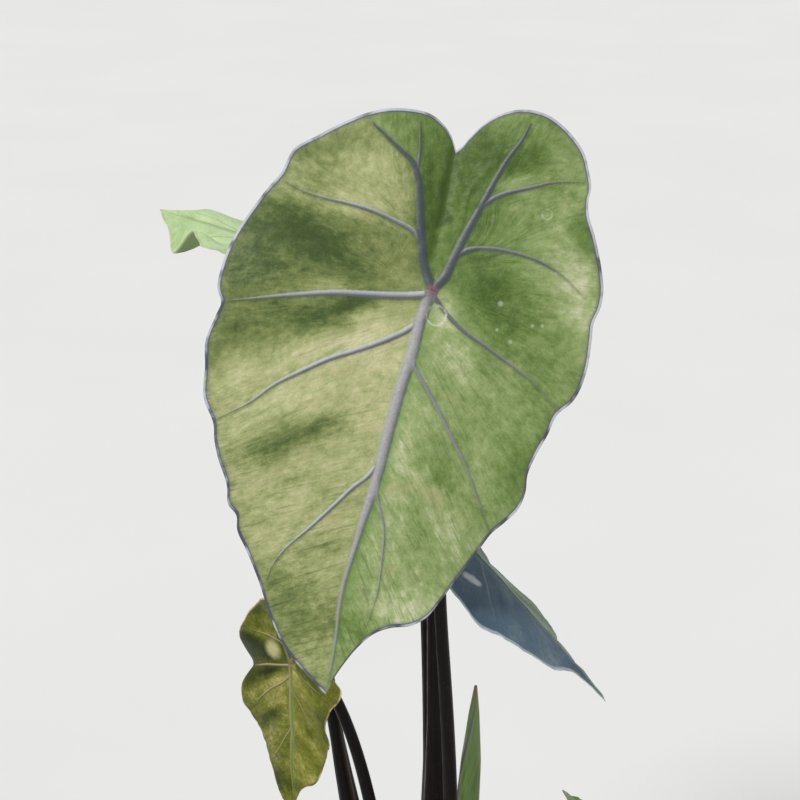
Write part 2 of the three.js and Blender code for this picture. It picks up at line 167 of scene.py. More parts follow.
LATERALS = {
    "left basal branch": ([(0, 2), (1, 1)], [(-21.3, -53), (-22.3, -62), (-24.3, -70.6), (-26, -77)]),
    "left basal side": ([(0, 2.6), (0.5, 1.8), (1, 0.9)],
     [(-10.4, -20.8), (-13.5, -23.6), (-17.5, -25.6), (-23.6, -27), (-36.7, -29.3),
      (-48.3, -29.7), (-61.9, -29.5), (-73.5, -30.3), (-81, -32.6)]),
    "left level": ([(0, 4), (0.6, 2.6), (1, 1.2)],
     [(0, 2.4), (-14.2, 6.5), (-28.3, 9.6), (-42.9, 12.6), (-63.9, 19.3), (-84.8, 26.8), (-94, 30)]),
    "left second": ([(0, 3.2), (0.6, 2.4), (1, 1)],
     [(-2.1, 16.5), (-7.8, 22.7), (-12.9, 26.9), (-27.4, 37), (-39.9, 44.8), (-49.3, 52.4),
      (-63.2, 64.7), (-70.1, 73.3), (-84.2, 85.7)]),
    "left third": ([(0, 2.6), (0.6, 1.8), (1, 0.8)],
     [(-4, 88), (-7.5, 95.2), (-11.8, 100.3), (-17.9, 109.9), (-27.6, 125), (-37.4, 139.6),
      (-41.4, 150.3), (-41.7, 155)]),
    "right basal side": ([(0, 2.6), (1, 1)],
     [(12.6, -44.5), (16.9, -49.5), (21.2, -53.2), (25.7, -55.7), (33.7, -59.7), (42.2, -64.3),
      (57.2, -68.8)]),
    "right arching": ([(0, 2.6), (0.5, 1.7), (1, 0.7)],
     [(5.4, -10), (7.4, -18), (11, -22.6), (16.8, -25.1), (24.2, -26.7), (31.9, -27.1),
      (45, -26.4), (57.7, -23), (66, -18.5), (72, -15)]),
    "right level": ([(0, 2.4), (0.6, 1.5), (1, 0.7)],
     [(1, 2), (7.7, 7.8), (17.9, 14.3), (33.7, 20.4), (49.1, 26.6), (57.4, 30.3), (72.7, 40.5)]),
    "right second": ([(0, 2.1), (0.6, 1.5), (1, 0.7)],
     [(-2, 32), (0.6, 37.1), (5.3, 42.1), (17.1, 54.4), (27.8, 66.9), (37.1, 77.8),
      (46.2, 90.8), (55.3, 104.6)]),
    "right third": ([(0, 1.5), (1, 0.6)],
     [(-3, 95), (-0.3, 102.5), (3.1, 109), (6.3, 115.5), (9.7, 131.7), (11.5, 147.2), (10.6, 164)]),
}
VEINS = {**SPINE, **LATERALS}
VEIN_REACH = 9
VEIN_STEP = 1.3
VEIN_MAP_STEP = 3
VEIN_FADE = 0.94
VEIN_HEIGHT = 0.4
VEIN_SKIRT = 1.3
RIB_WIDENING = 1.25
RIB_DEPTH = 0.62
RIB_ARC_POINTS = 9
RIB_SINK = 0.06
STOUT_RIB_SINK = 0.1

# The way that the light runs over the front leaf, across and towards the tip
LIGHT_TRAVEL = np.array([0.66, 0.75])
LEAN_SLOPE = 0.28
SWELL_LIGHT = 0.8

# How far the painted light of a lean spreads past its half length and its half width
LEAN_SPREAD = (1.15, 1.3)

# What makes the edges of the leans ragged, as noise: its width and length, how far it shifts a
# point across and towards the tip, and its own seed
LEAN_SHIFTS = [(11, 7, (3, 2.4), 11), (4, 3, (1.4, 0.9), 13)]

# Colours as 8-bit sRGB: the tan cast, the green beside the midrib, the spot where the veins meet,
# and the inside and the edge of a water mark
TAN = (176, 164, 122)
FRESH_GREEN = (98, 138, 60)
RED_SPOT = (142, 88, 96)
WET_GREEN = (120, 160, 82)
WATER_MARK = (204, 210, 190)

# Water marks and pale spots by the look of the leaf: across, towards the tip, radius, strength of
# its ring, which is 0 for a spot
MARKS = {
    "front": [(5.2, 11.3, 4.8, 1), (33.5, -2, 1.6, 0), (55.5, 3.3, 1.1, 0), (42.5, 14.6, 1.4, 0),
              (50.9, 4.5, 1, 0), (35, 10.6, 0.9, 0), (44.2, -49, 2.4, 0.45)],
    "blue": [(36.4, 47, 5, 0), (34.3, 52, 6, 0), (32.2, 57, 5, 0)],
    "old": [(-31, -12, 15, 0)],
}

# Where the crease below the notch and the midrib part the two halves: (towards the tip, across)
DIVIDE = [(-70, -7), (-49, -5.4), (-14, -3), (0, 0), (50, -2.6), (100, -3.1), (145, -5.1), (200, 0)]
CREASE_DEPTH = 1.2
CREASE_WIDTH = 2.4

# Where the colours of the left half give way to those of the right: along the left basal rib,
# then the midrib
COLOUR_DIVIDE = [
    (-90, -60), *[(down, across) for across, down in SPINE["left basal"][1][:0:-1]],
    *[pair for pair in DIVIDE if pair[0] >= 0]]

# Lines that the fine net between the veins follows, from the notch round to the tip
LEFT_GUIDES = [
    ((-4, -12), (-9, -72)), ((-12, -25), (-30, -78)), ((-11, -22), (-82, -33)), ((0, 2), (-95, 30)),
    ((-2, 18), (-84, 86)), ((-3, 88), (-76, 126)), ((-5, 140), (-50, 168)),
]
RIGHT_GUIDES = [
    ((2, -12), (1, -84)), ((8, -26), (25, -88)), ((13, -47), (57, -69)), ((6, -12), (75, -20)),
    ((2, 2), (73, 40)), ((-2, 34), (55, 105)), ((-3, 97), (38, 140)), ((-4, 140), (14, 165)),
]
GUIDE_SOFTNESS = 4

# Soft ovals where the upper face leans away from the light (below 0) or towards it (above 0). Each
# is painted into the colour, as painted shade below 0 and painted light above 0, and tilts the
# relief a little: across, towards the tip, half length, half width, turn in degrees, strength
LEANS = [
    (-62, 2, 42, 20, -15, -0.4), (-10, -50, 30, 12, 80, -0.3), (6, -56, 28, 9, 80, -0.5),
    (-28, -62, 16, 10, 0, -0.1), (22, -55, 22, 16, 0, -0.2), (14, -76, 16, 9, 0, -0.35),
    (-38, 160, 26, 5, 45, -0.1), (66, 72, 20, 6, 100, -0.25), (58, -62, 10, 6, 60, 0.2),
    (0, 100, 70, 60, 0, 0.15), (-14, 24, 22, 10, -25, 0.5), (46, 40, 26, 20, 0, 0.15),
    (18, 130, 16, 10, 0, 0.25), (-43, -30, 16, 5, -5, 0.55), (7, 12, 6, 4, 45, 0.7),
    (50, -20, 12, 8, 0, 0.25), (34, -58, 12, 8, 0, 0.2),
    (-49, -5, 18, 6, 17, -0.5), (-77, -15, 19, 8, -5, -0.55), (-88, 9, 14, 12, 80, -0.3),
    (-48, 10, 14, 4, -10, 0.45), (-73, -29, 22, 4, -3, 0.3), (-41, -48, 13, 10, 0, 0.45),
    (-62, -56, 14, 5, -15, -0.35), (-38, 19, 14, 4, -27, -0.75), (-67, 32, 22, 6, -21, -0.45),
    (-87, 45, 10, 11, 80, -0.25), (-46, 39, 24, 7, -33, 0.5), (-80, 65, 7, 11, 80, 0.45),
    (-18, 59, 17, 19, 90, 0.5), (-43, 84, 24, 6, -33, -0.5), (-60, 94, 12, 4, -35, -0.3),
    (-36, 76, 11, 3, -30, -0.3), (-40, 104, 7, 2, -35, -0.35), (-50, 117, 17, 14, 45, 0.3),
    (-22, 133, 11, 3, -30, -0.35), (-29, 166, 12, 11, 55, -0.36), (1, 168, 6, 14, 85, -0.4),
    (22, 153, 11, 19, 85, 0.3), (27, -8, 16, 12, 35, -0.6), (43, 11, 14, 10, 20, -0.35),
    (67, -20, 19, 8, 70, 0.85), (6, 3, 6, 3, 45, 0.6), (-13, -39, 22, 4, 78, -0.5),
    (-5, -43, 22, 2, 90, -0.5), (25, -70, 9, 4, -15, -0.45), (24, -61, 11, 3, -25, 0.4),
    (39, -80, 11, 7, 5, 0.3), (63, -45, 11, 4, 65, -0.5), (20, 28, 14, 7, 40, 0.38),
    (35, 30, 6, 3, 30, -0.3), (10, 83, 14, 5, 45, 0.4), (36, 110, 22, 8, 45, 0.4),
    (26, 88, 12, 6, 45, -0.35), (23, 110, 12, 4, 60, -0.35), (59, 59, 24, 10, 95, -0.25),
    (33, 150, 14, 9, -15, 0.35), (-33, 104, 48, 30, 65, 0.25), (-17, 36, 14, 8, -10, 0.28),
    (-52, 68, 20, 7, -30, 0.28),
]

# The leaves, as in the part: where each blade is attached, where its upper face and its tip
# point, its size, its fold and waves, the foot and the two pulls of its stalk's curve. hand is -1
# where it is mirrored, spokes and rings are the fineness of its mesh, narrow squeezes its left
# half, curls bend its margin (at which turn in degrees, how widely and how high) and bites draw it
# in (at which turn, how widely and by which share)
LEAVES = [
    dict(name="front", at=(0, -70, 560), face=(0, -0.94, 0.342), tip=(-0.2542, -0.3307, -0.9088),
         scale=1, hand=1, fold=0.1, droop=11, arch=3, wave=2.4, ripples=9, phase=0.5,
         foot=(4, -12), rise=(6, 22, 380), reach=108, radius=(9, 4.6, 3.7),
         spokes=480, rings=78, look="front", slot="leaf", seed=1),
    dict(name="right", at=(11, -52, 428), face=(0.63, -0.04, 0.775), tip=(0.44, -0.46, -0.77),
         scale=0.578, hand=-1, fold=-0.173, droop=5.3, arch=1.7, wave=3, ripples=7, phase=2.63,
         foot=(11, -34), rise=(19, -38, 320), reach=26, radius=(8, 4, 3.2),
         spokes=300, rings=52, look="blue", slot="leaf_blue", seed=2, narrow=0.8),
    dict(name="left", at=(-54, 31, 543), face=(0.3, -0.115, 0.947), tip=(-0.9, 0.27, 0.34),
         scale=0.476, hand=-1, fold=0.083, droop=9.7, arch=5.8, wave=6.4, ripples=8, phase=2.2,
         foot=(-24, 2), rise=(-75, 30, 330), reach=50, radius=(8, 4, 3),
         spokes=280, rings=48, look="pale", slot="leaf_pale", seed=3,
         curls=[(-14.5, 2.8, -22), (-22, 3.6, 15)]),
    dict(name="back", at=(-10, 105, 450), face=(-0.1, 0.8, 0.59), tip=(-0.1, 0.59, -0.8),
         scale=0.72, hand=-1, fold=0.12, droop=10, arch=3, wave=3.5, ripples=9, phase=1.1,
         foot=(2, 24), rise=(5, 40, 320), reach=55, radius=(8.5, 4.4, 3.4),
         spokes=360, rings=60, look="back", slot="leaf", seed=4),
    dict(name="old", at=(-74, -31, 340), face=(-0.7, -0.71, 0.05), tip=(-0.31, -0.425, -0.85),
         scale=0.42, hand=1, fold=0.1, droop=13.9, arch=1, wave=7.3, ripples=7, phase=1.96,
         foot=(-20, -20), rise=(-24, -14, 240), reach=35, radius=(7.5, 3.8, 3),
         spokes=280, rings=46, look="old", slot="leaf_old", seed=5, bites=[(-74, 9, 0.15)]),
    dict(name="offset_one", at=(70, -76, 232), face=(0.45, -0.6, 0.66), tip=(0.35, -0.56, -0.75),
         scale=0.34, hand=-1, fold=0.12, droop=10, arch=3, wave=3, ripples=6, phase=0.9,
         foot=(50, -38), rise=(53, -44, 190), reach=20, radius=(4, 2.6, 2.1),
         spokes=220, rings=36, look="young", slot="leaf", seed=6),
    dict(name="offset_two", at=(96, -8, 222), face=(0.76, 0.1, 0.64), tip=(0.62, 0.1, -0.78),
         scale=0.3, hand=1, fold=0.12, droop=10, arch=3, wave=3, ripples=6, phase=2.2,
         foot=(62, -22), rise=(66, -20, 190), reach=20, radius=(4, 2.4, 1.9),
         spokes=220, rings=36, look="young", slot="leaf", seed=7),
]

# The colours of each kind of leaf, as 8-bit sRGB: five steps from dark to pale for the left and the
# right half, which is as the left where none is given, picked by a tone that holds painted shade in
# the hollows and painted light on the swells, the midrib, the basal ribs, the other veins, the rim
# and its gleams, which are painted highlights on the rim and on the veins' lit side, and the
# underside and its ribs. crisp is the strength of its fine marking, gloss its shine, rim_width in
# millimetres, mark the colour and strength of its spots
LOOKS = {
    "front": dict(
        left=[(42, 57, 18), (73, 91, 41), (117, 129, 73), (161, 167, 114), (197, 192, 151)],
        right=[(42, 60, 14), (71, 95, 33), (105, 128, 65), (142, 158, 103), (192, 195, 157)],
        midrib=(174, 170, 175), basal=(72, 78, 84), vein=(162, 164, 162), rim=(76, 78, 88),
        gleam=(184, 187, 196), under=(134, 150, 122), under_rib=(70, 58, 66)),
    # The slate blue of this leaf's right half is a painted reflection of the sky on its waxy face
    "blue": dict(
        left=[(60, 78, 72), (88, 106, 92), (114, 132, 108), (136, 154, 126), (170, 178, 156)],
        right=[(44, 60, 74), (58, 78, 94), (70, 91, 107), (84, 104, 119), (122, 138, 144)],
        midrib=(84, 96, 108), basal=(70, 82, 94), vein=(92, 106, 116), rim=(150, 166, 170),
        gleam=(190, 200, 200), under=(104, 118, 112), under_rib=(62, 58, 70), rim_width=3.4,
        crisp=0.5, mark=((206, 211, 208), 0.85)),
    # The pale greens of this leaf are partly its own light green and partly painted light, for light
    # shining through it from behind
    "pale": dict(
        left=[(112, 138, 80), (150, 178, 116), (180, 206, 148), (198, 222, 168), (214, 232, 190)],
        midrib=(188, 200, 176), basal=(150, 158, 140), vein=(176, 192, 160), rim=(176, 190, 150),
        gleam=(206, 222, 184), under=(112, 138, 78), under_rib=(104, 96, 92), crisp=0.5),
    "back": dict(
        left=[(52, 70, 34), (88, 108, 54), (124, 141, 84), (152, 163, 108), (182, 186, 142)],
        right=[(52, 76, 32), (82, 110, 48), (112, 139, 72), (140, 160, 96), (176, 184, 136)],
        midrib=(146, 148, 144), basal=(96, 101, 106), vein=(134, 140, 134), rim=(84, 88, 98),
        gleam=(190, 194, 198), under=(128, 144, 114), under_rib=(68, 56, 64)),
    # The very dark greens of the old leaf are partly its own colour and partly painted shade, for it lies
    # in the front leaf's shade
    "old": dict(
        left=[(22, 28, 3), (38, 46, 5), (64, 72, 12), (102, 107, 34), (168, 161, 95)],
        right=[(26, 32, 3), (44, 53, 6), (74, 81, 16), (114, 117, 42), (174, 167, 99)],
        midrib=(142, 138, 96), basal=(112, 106, 76), vein=(146, 142, 98), rim=(104, 90, 62),
        gleam=(176, 166, 124), under=(134, 134, 76), under_rib=(92, 76, 54), crisp=0.85, gloss=0.14,
        mark=((212, 206, 150), 0.6)),
    "young": dict(
        left=[(58, 84, 34), (92, 122, 52), (124, 154, 78), (152, 178, 104), (186, 200, 140)],
        midrib=(142, 150, 132), basal=(104, 110, 104), vein=(138, 152, 124), rim=(96, 84, 92),
        gleam=(180, 184, 176), under=(124, 148, 102), under_rib=(82, 66, 70), crisp=0.6),
}
USUAL_LOOK = dict(crisp=1, gloss=0.32, rim_width=1.5, mark=((190, 202, 172), 0.42))
LOOKS = {look: {**USUAL_LOOK, "right": own["left"], **own} for look, own in LOOKS.items()}

# The rolled new leaf, as in the part
ROLL_CURVE = [(21, 4, STALK_FOOT), (22, 5, 200), (25, 10, 260), (27, 12, 304)]
ROLL_RADIUS = [(0, 6.5), (0.28, 4.4), (0.42, 4.2), (0.55, 6.2), (0.72, 5.6), (0.9, 3), (1, 0.8)]
ROLL_STARTS = 0.42
ROLL_FULL = 0.55
ROLL_EDGE = 1.8
ROLL_TURN = 5
ROLL_SIDES = 72
ROLL_STEP = 0.8
ROLL_LENGTH = 170

# The studio, with lengths in metres. The two shades of the floor are 8-bit sRGB, the other colours
# linear
FLOOR_RADIUS = 40
FLOOR_DARK = (228.54, 228.54, 227.24)
FLOOR_LIGHT = (236.15, 236.15, 234.9)
SKY_COLOUR = (0.95, 0.97, 1, 1)
SKY_STRENGTH = 0.48
KEY_LIGHT = dict(kind="SUN", place=(-1.0, -0.9, 1.5), target=(0, 0, 0), energy=2.3,
                 angle=math.radians(16), color=(1, 0.985, 0.95))
FILL_LIGHT = dict(kind="AREA", place=(1.6, -1.6, 0.9), target=(0, -0.07, 0.4), energy=2.5,
                  shape="DISK", size=1.6, color=(0.94, 0.97, 1))


# Small number helpers
def unit(vector):
    vector = np.array(vector, float)
    return vector / np.linalg.norm(vector)


def smooth_step(value, low, high):
    share = np.clip((value - low) / (high - low), 0, 1)
    return share * share * (3 - 2 * share)


def bell(value, width):
    """1 at 0, falling to both sides over about the width."""
    return np.exp(-((value / width) ** 2))


def even_turns(count):
    """Turns in radians, evenly spaced once round."""
    return np.linspace(0, 2 * math.pi, count, endpoint=False)


def wrapped(turn):
    """A turn in radians, brought to within half a turn of 0."""
    return (turn + math.pi) % (2 * math.pi) - math.pi


def value_noise(x, y, seed):
    """Smooth noise from -1 to 1 over a plane."""
    cells = 64
    grid = np.random.default_rng(seed).uniform(-1, 1, (cells, cells))
    column, row = np.floor(x).astype(int), np.floor(y).astype(int)
    across, up = smooth_step(x - column, 0, 1), smooth_step(y - row, 0, 1)
    near, far = column % cells, (column + 1) % cells
    low, high = row % cells, (row + 1) % cells
    below = grid[near, low] * (1 - across) + grid[far, low] * across
    above = grid[near, high] * (1 - across) + grid[far, high] * across
    return below * (1 - up) + above * up


def relief(points, layers, seed):
    """The sum of layers of smooth noise, each (height, width, length, seed of its own)."""
    return sum(height * value_noise(points[:, 0] / width, points[:, 1] / length, seed + own)
               for height, width, length, own in layers)


def pair_value(pairs, station):
    """Reads a list of (station, value) pairs at any station."""
    return np.interp(station, [pair[0] for pair in pairs], [pair[1] for pair in pairs])


def distances_along(points):
    """The distance of each point of a line from the line's start."""
    return np.concatenate([[0], np.cumsum(np.linalg.norm(np.diff(points, axis=0), axis=1))])


def read_line(points, stations, wanted):
    """The places on a line of points, each at its station, at the wanted stations."""
    return np.stack([np.interp(wanted, stations, column) for column in points.T], 1)


def spaced(points, count):
    """Points at even distances along a line of points."""
    stations = distances_along(points)
    return read_line(points, stations, np.linspace(0, stations[-1], count))


def smooth_path(points, step):
    """Points about one step apart on a smooth curve through the given points."""
    points = np.array(points, float)
    stations = distances_along(points)
    slopes = np.gradient(points, stations, axis=0)
    share = np.linspace(0, 1, 12, endpoint=False)[:, None]
    fine = []
    for index in range(len(points) - 1):
        span = stations[index + 1] - stations[index]
        fine.append((2 * share**3 - 3 * share**2 + 1) * points[index]
                    + (share**3 - 2 * share**2 + share) * span * slopes[index]
                    + (3 * share**2 - 2 * share**3) * points[index + 1]
                    + (share**3 - share**2) * span * slopes[index + 1])
    fine.append(points[-1:])
    return spaced(np.vstack(fine), max(2, round(stations[-1] / step) + 1))


# Pieces
class Bodies:
    """The bodies that make up one piece. A field is three numbers at each vertex, 0 in the bodies
    that lack it, and a kind is the number of a face's material."""

    def __init__(self):
        self.parts = []
        self.faces = []
        self.kinds = []
        self.count = 0

    def add(self, vertices, faces, kinds=None, **fields):
        self.faces += [tuple(int(index) + self.count for index in face) for face in faces]
        self.kinds += kinds or [0] * len(faces)
        self.parts.append((vertices, fields))
        self.count += len(vertices)
        return self

    def vertices(self):
        return np.vstack([vertices for vertices, _ in self.parts])

    def fields(self):
        names = dict.fromkeys(name for _, fields in self.parts for name in fields)
        return {name: np.vstack([fields.get(name, np.zeros((len(vertices), 3)))
                                 for vertices, fields in self.parts]) for name in names}


def make_piece(name, node, slot, bodies, materials):
    """A mesh piece that stands for a node of the part."""
    mesh = bpy.data.meshes.new(name)
    mesh.from_pydata((bodies.vertices() * MM).tolist(), [], bodies.faces)
    for material in materials:
        mesh.materials.append(material)
    mesh.polygons.foreach_set("material_index", np.array(bodies.kinds, np.int32))
    mesh.polygons.foreach_set("use_smooth", np.ones(len(mesh.polygons), bool))
    for field, values in bodies.fields().items():
        attribute = mesh.attributes.new(field, "FLOAT_VECTOR", "POINT")
        attribute.data.foreach_set("vector", values.astype(np.float32).ravel())
    mesh.update()
    piece = bpy.data.objects.new(name, mesh)
    bpy.context.scene.collection.objects.link(piece)
    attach(piece, "root")
    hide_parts(node)
    return piece


def ring_faces(rings, sides, start=0):
    """Quads between rings of points, the first ring's first point at start."""
    faces = []
    for ring in range(rings - 1):
        low = start + ring * sides
        high = low + sides
        for side in range(sides):
            following = (side + 1) % sides
            faces.append((low + side, low + following, high + following, high + side))
    return faces


def closed_skin(rings):
    """Vertices and faces of a closed skin over rings of points, shape (rings, sides, 3)."""
    rings = np.asarray(rings, float)
    count, sides = rings.shape[:2]
    vertices = np.vstack([rings.reshape(-1, 3), rings[0].mean(axis=0), rings[-1].mean(axis=0)])
    faces = ring_faces(count, sides)
    low, high = count * sides, count * sides + 1
    end = (count - 1) * sides
    for side in range(sides):
        following = (side + 1) % sides
        faces.append((low, following, side))
        faces.append((high, end + side, end + following))
    return vertices, faces


def tube_rings(path, radii):
    """Rings of points about a path. radii has shape (points, sides)."""
    along = np.gradient(path, axis=0)
    along /= np.linalg.norm(along, axis=1)[:, None]
    up = np.cross(along, (1, 0, 0))
    up /= np.linalg.norm(up, axis=1)[:, None]
    right = np.cross(up, along)
    turns = even_turns(radii.shape[1])
    return (path[:, None]
            + right[:, None] * (np.cos(turns) * radii)[..., None]
            + up[:, None] * (np.sin(turns) * radii)[..., None])


# Shader nodes
def linear(colour):
    """8-bit sRGB as linear colour with alpha."""
    shares = np.array(colour, float) / 255
    low = shares / 12.92
    high = ((shares + 0.055) / 1.055) ** 2.4
    return (*np.where(shares <= 0.04045, low, high), 1)


class Shader:
    """Adds nodes to a new material. A value may be a node's socket, a number, a vector or a
    colour, which is 8-bit sRGB."""

    def __init__(self, name, roughness, **settings):
        self.material = bpy.data.materials.new(name)
        self.material.use_nodes = True
        self.tree = self.material.node_tree
        self.surface = self.tree.nodes["Principled BSDF"]
        self.surface.inputs["Roughness"].default_value = roughness
        for socket, value in settings.items():
            self.surface.inputs[socket.replace("_", " ")].default_value = value

    def put(self, socket, value):
        if isinstance(value, bpy.types.NodeSocket):
            self.tree.links.new(value, socket)
        elif socket.type == "RGBA":
            socket.default_value = linear(value)
        else:
            socket.default_value = value

    def add(self, kind, inputs, **settings):
        node = self.tree.nodes.new(kind)
        for setting, value in settings.items():
            setattr(node, setting, value)
        for socket, value in inputs.items():
            self.put(node.inputs[socket], value)
        return node

    def field(self, name):
        node = self.add("ShaderNodeAttribute", {}, attribute_name=name)
        return self.split(node.outputs["Vector"])

    def split(self, vector):
        node = self.add("ShaderNodeSeparateXYZ", {0: vector})
        return node.outputs[0], node.outputs[1], node.outputs[2]

    def join(self, x, y, z=0.0):
        return self.add("ShaderNodeCombineXYZ", {0: x, 1: y, 2: z}).outputs[0]

    def place(self):
        """The object's own coordinates, in metres."""
        return self.add("ShaderNodeTexCoord", {}).outputs["Object"]

    def math(self, operation, first, second=0.0, third=0.0):
        inputs = {0: first, 1: second, 2: third}
        return self.add("ShaderNodeMath", inputs, operation=operation).outputs[0]

    def times(self, first, second):
        return self.math("MULTIPLY", first, second)

    def plus(self, *values):
        total = values[0]
        for value in values[1:]:
            total = self.math("ADD", total, value)
        return total

    def weighted(self, *pairs):
        """The sum of (value, weight) pairs."""
        return self.plus(*(self.times(value, weight) for value, weight in pairs))

    def step(self, value, low, high, start=0.0, end=1.0):
        """A smooth step from start to end as value runs from low to high."""
        inputs = {0: value, 1: low, 2: high, 3: start, 4: end}
        node = self.add("ShaderNodeMapRange", inputs, interpolation_type="SMOOTHSTEP")
        return node.outputs[0]

    def noise(self, vector, scale=1.0, detail=2.0, roughness=0.5):
        inputs = {"Vector": vector, "Scale": scale, "Detail": detail, "Roughness": roughness}
        return self.add("ShaderNodeTexNoise", inputs).outputs["Fac"]

    def drawn(self, x, fineness_x, y, fineness_y, shift, detail):
        """Noise over two coordinates, each with a fineness of its own."""
        vector = self.join(self.times(x, fineness_x), self.times(y, fineness_y), shift)
        return self.noise(vector, detail=detail)

    def speckle(self, vector, scale, size):
        """1 in the middle of scattered dots, falling to 0 at their edge."""
        inputs = {"Vector": vector, "Scale": scale}
        node = self.add("ShaderNodeTexVoronoi", inputs, feature="F1")
        return self.step(node.outputs["Distance"], size, size * 0.4)

    def mask(self, depth, soft):
        """1 where a depth is above 0, falling to 0 over a soft edge."""
        return self.step(depth, -soft, soft)

    def mix(self, share, first, second):
        """The first colour, with a share of the second laid over it."""
        inputs = {0: share, 6: first, 7: second}
        return self.add("ShaderNodeMix", inputs, data_type="RGBA").outputs[2]

    def ramp(self, share, colours):
        """Colours at even steps from 0 to 1."""
        node = self.add("ShaderNodeValToRGB", {0: share})
        stops = node.color_ramp.elements
        last = len(colours) - 1
        for index in range(1, last):
            stops.new(index / last)
        for index, colour in enumerate(colours):
            stops[index].position = index / last
            stops[index].color = linear(colour)
        return node.outputs[0]

    def finish(self, colour, height=None, depth=0.3, roughness=None):
        """Joins colour, bump height (depth in millimetres) and roughness to the surface."""
        self.put(self.surface.inputs["Base Color"], colour)
        if roughness is not None:
            self.put(self.surface.inputs["Roughness"], roughness)
        if height is not None:
            bump = self.add("ShaderNodeBump", {"Height": height, "Distance": depth * MM})
            self.put(self.surface.inputs["Normal"], bump.outputs[0])
        return self.material


# Leaf materials. Lengths in them are in millimetres of a full-size blade
class LeafShader(Shader):
    """The material of one face of a leaf, with the fields of the leaf's mesh."""

    def __init__(self, face, look, seed, roughness, **settings):
        super().__init__(f"{look}_{face}_{seed}", roughness, **settings)
        self.seed = seed
        self.colours = LOOKS[look]
        self.u, self.v, self.rim = self.field("leaf")
        self.lane, self.along, self.side = self.field("lane")
        self.spine, self.spine_half, _ = self.field("spine")
        self.lateral, self.lateral_half, self.lateral_share = self.field("lateral")

    def net(self, width, length, shift, detail):
        """Noise drawn out along the lines of the fine net."""
        return self.drawn(self.lane, 1 / width, self.along, 1 / length, self.seed + shift, detail)

    def patches(self, size, shift, detail=3.0, roughness=0.55):
        """Noise from -0.5 to 0.5 in patches of about one size."""
        flat = self.join(self.u, self.v, self.seed * 40.0 + shift)
        return self.math("SUBTRACT", self.noise(flat, 1 / size, detail, roughness), 0.5)


class UpperFace(LeafShader):
    """The upper face's material, with the painted light and shade on it and the noise that its layers
    share.
    """

    def __init__(self, look, seed):
        super().__init__("leaf", look, seed, 0.5, Specular_IOR_Level=LOOKS[look]["gloss"])
        self.light, self.lit, _ = self.field("painted_light")
        u, v = self.u, self.v
        self.reach = self.math("SQRT", self.plus(self.times(u, u), self.times(v, v)))

        # The net fades round the attachment, below the notch and on the midrib and basal ribs
        beside_crease = self.step(self.math("ABSOLUTE", self.plus(u, 2.0)), 20, 8)
        outside = self.plus(1.0, self.times(self.times(self.step(v, 0, -30), beside_crease), -0.75))
        clear = self.times(self.step(self.reach, 8, 40, 0.25, 1), outside)
        self.clear = self.times(clear, self.step(self.spine, 0.4, -1.4))
        self.wide = self.streaks(9, 20, 0.3, 3)
        self.fine = self.streaks(2.4, 8, 5.7, 3)
        self.wrinkle = self.streaks(1.1, 3.5, 8.2, 2)
        lines = self.step(self.net(1.7, 30, 9.1, 1), 0.58, 0.7, 0, self.colours["crisp"])
        self.lines = self.times(lines, self.clear)
        self.speck = self.patches(1.1, 3, 2, 0.7)
        self.pebbles = self.patches(4.5, 9, 4)
        self.grain = self.patches(1.5, 21, 3, 0.75)

    def streaks(self, width, length, shift, detail):
        """Noise from -0.5 to 0.5 along the net, 0 where the net fades."""
        noise = self.net(width, length, shift, detail)
        return self.times(self.math("SUBTRACT", noise, 0.5), self.clear)


def flesh(s):
    """The colour between the veins, from painted shade in the hollows to painted light on the swells,
    with random marking over it, then a tan cast here and there, the thin dark lines of the net and
    fresh green beside the midrib."""
    colours, crisp = s.colours, s.colours["crisp"]
    marking = s.weighted((s.patches(26, 0), 0.32), (s.wide, 0.24), (s.fine, 0.26),
                         (s.wrinkle, 0.2), (s.pebbles, 0.34), (s.speck, 0.2))
    strength = s.step(s.v, 60, 160, 1.15 * crisp, 1.35 * crisp)
    # The tone holds the painted light and shade of the leans and the random marking
    tone = s.plus(0.59, s.times(s.light, 0.5), s.times(marking, strength))
    tone = s.math("SMOOTH_MAX", tone, 0.14, 0.12)
    left, right = s.ramp(tone, colours["left"]), s.ramp(tone, colours["right"])
    # The right half has its own ramp; on the blue leaf that slate ramp is a painted reflection of the sky
    colour = s.mix(s.step(s.side, -1.2, 1.2), left, right)
    cast = s.times(s.step(s.patches(22, 15), 0.06, 0.24), s.step(tone, 0.4, 0.7, 0, 0.4 * crisp**2))
    colour = s.mix(cast, colour, TAN)
    net = s.times(s.lines, s.step(s.v, 90, 140, 0.16, 0.34))
    colour = s.mix(net, colour, colours["left"][0])
    fresh = s.times(s.step(s.spine, -6, -0.5, 0, 0.55), s.step(s.side, 0, 1))
    fresh = s.times(fresh, s.times(s.step(s.v, 8, 24), s.step(s.v, 190, 150)))
    return s.mix(fresh, colour, FRESH_GREEN)


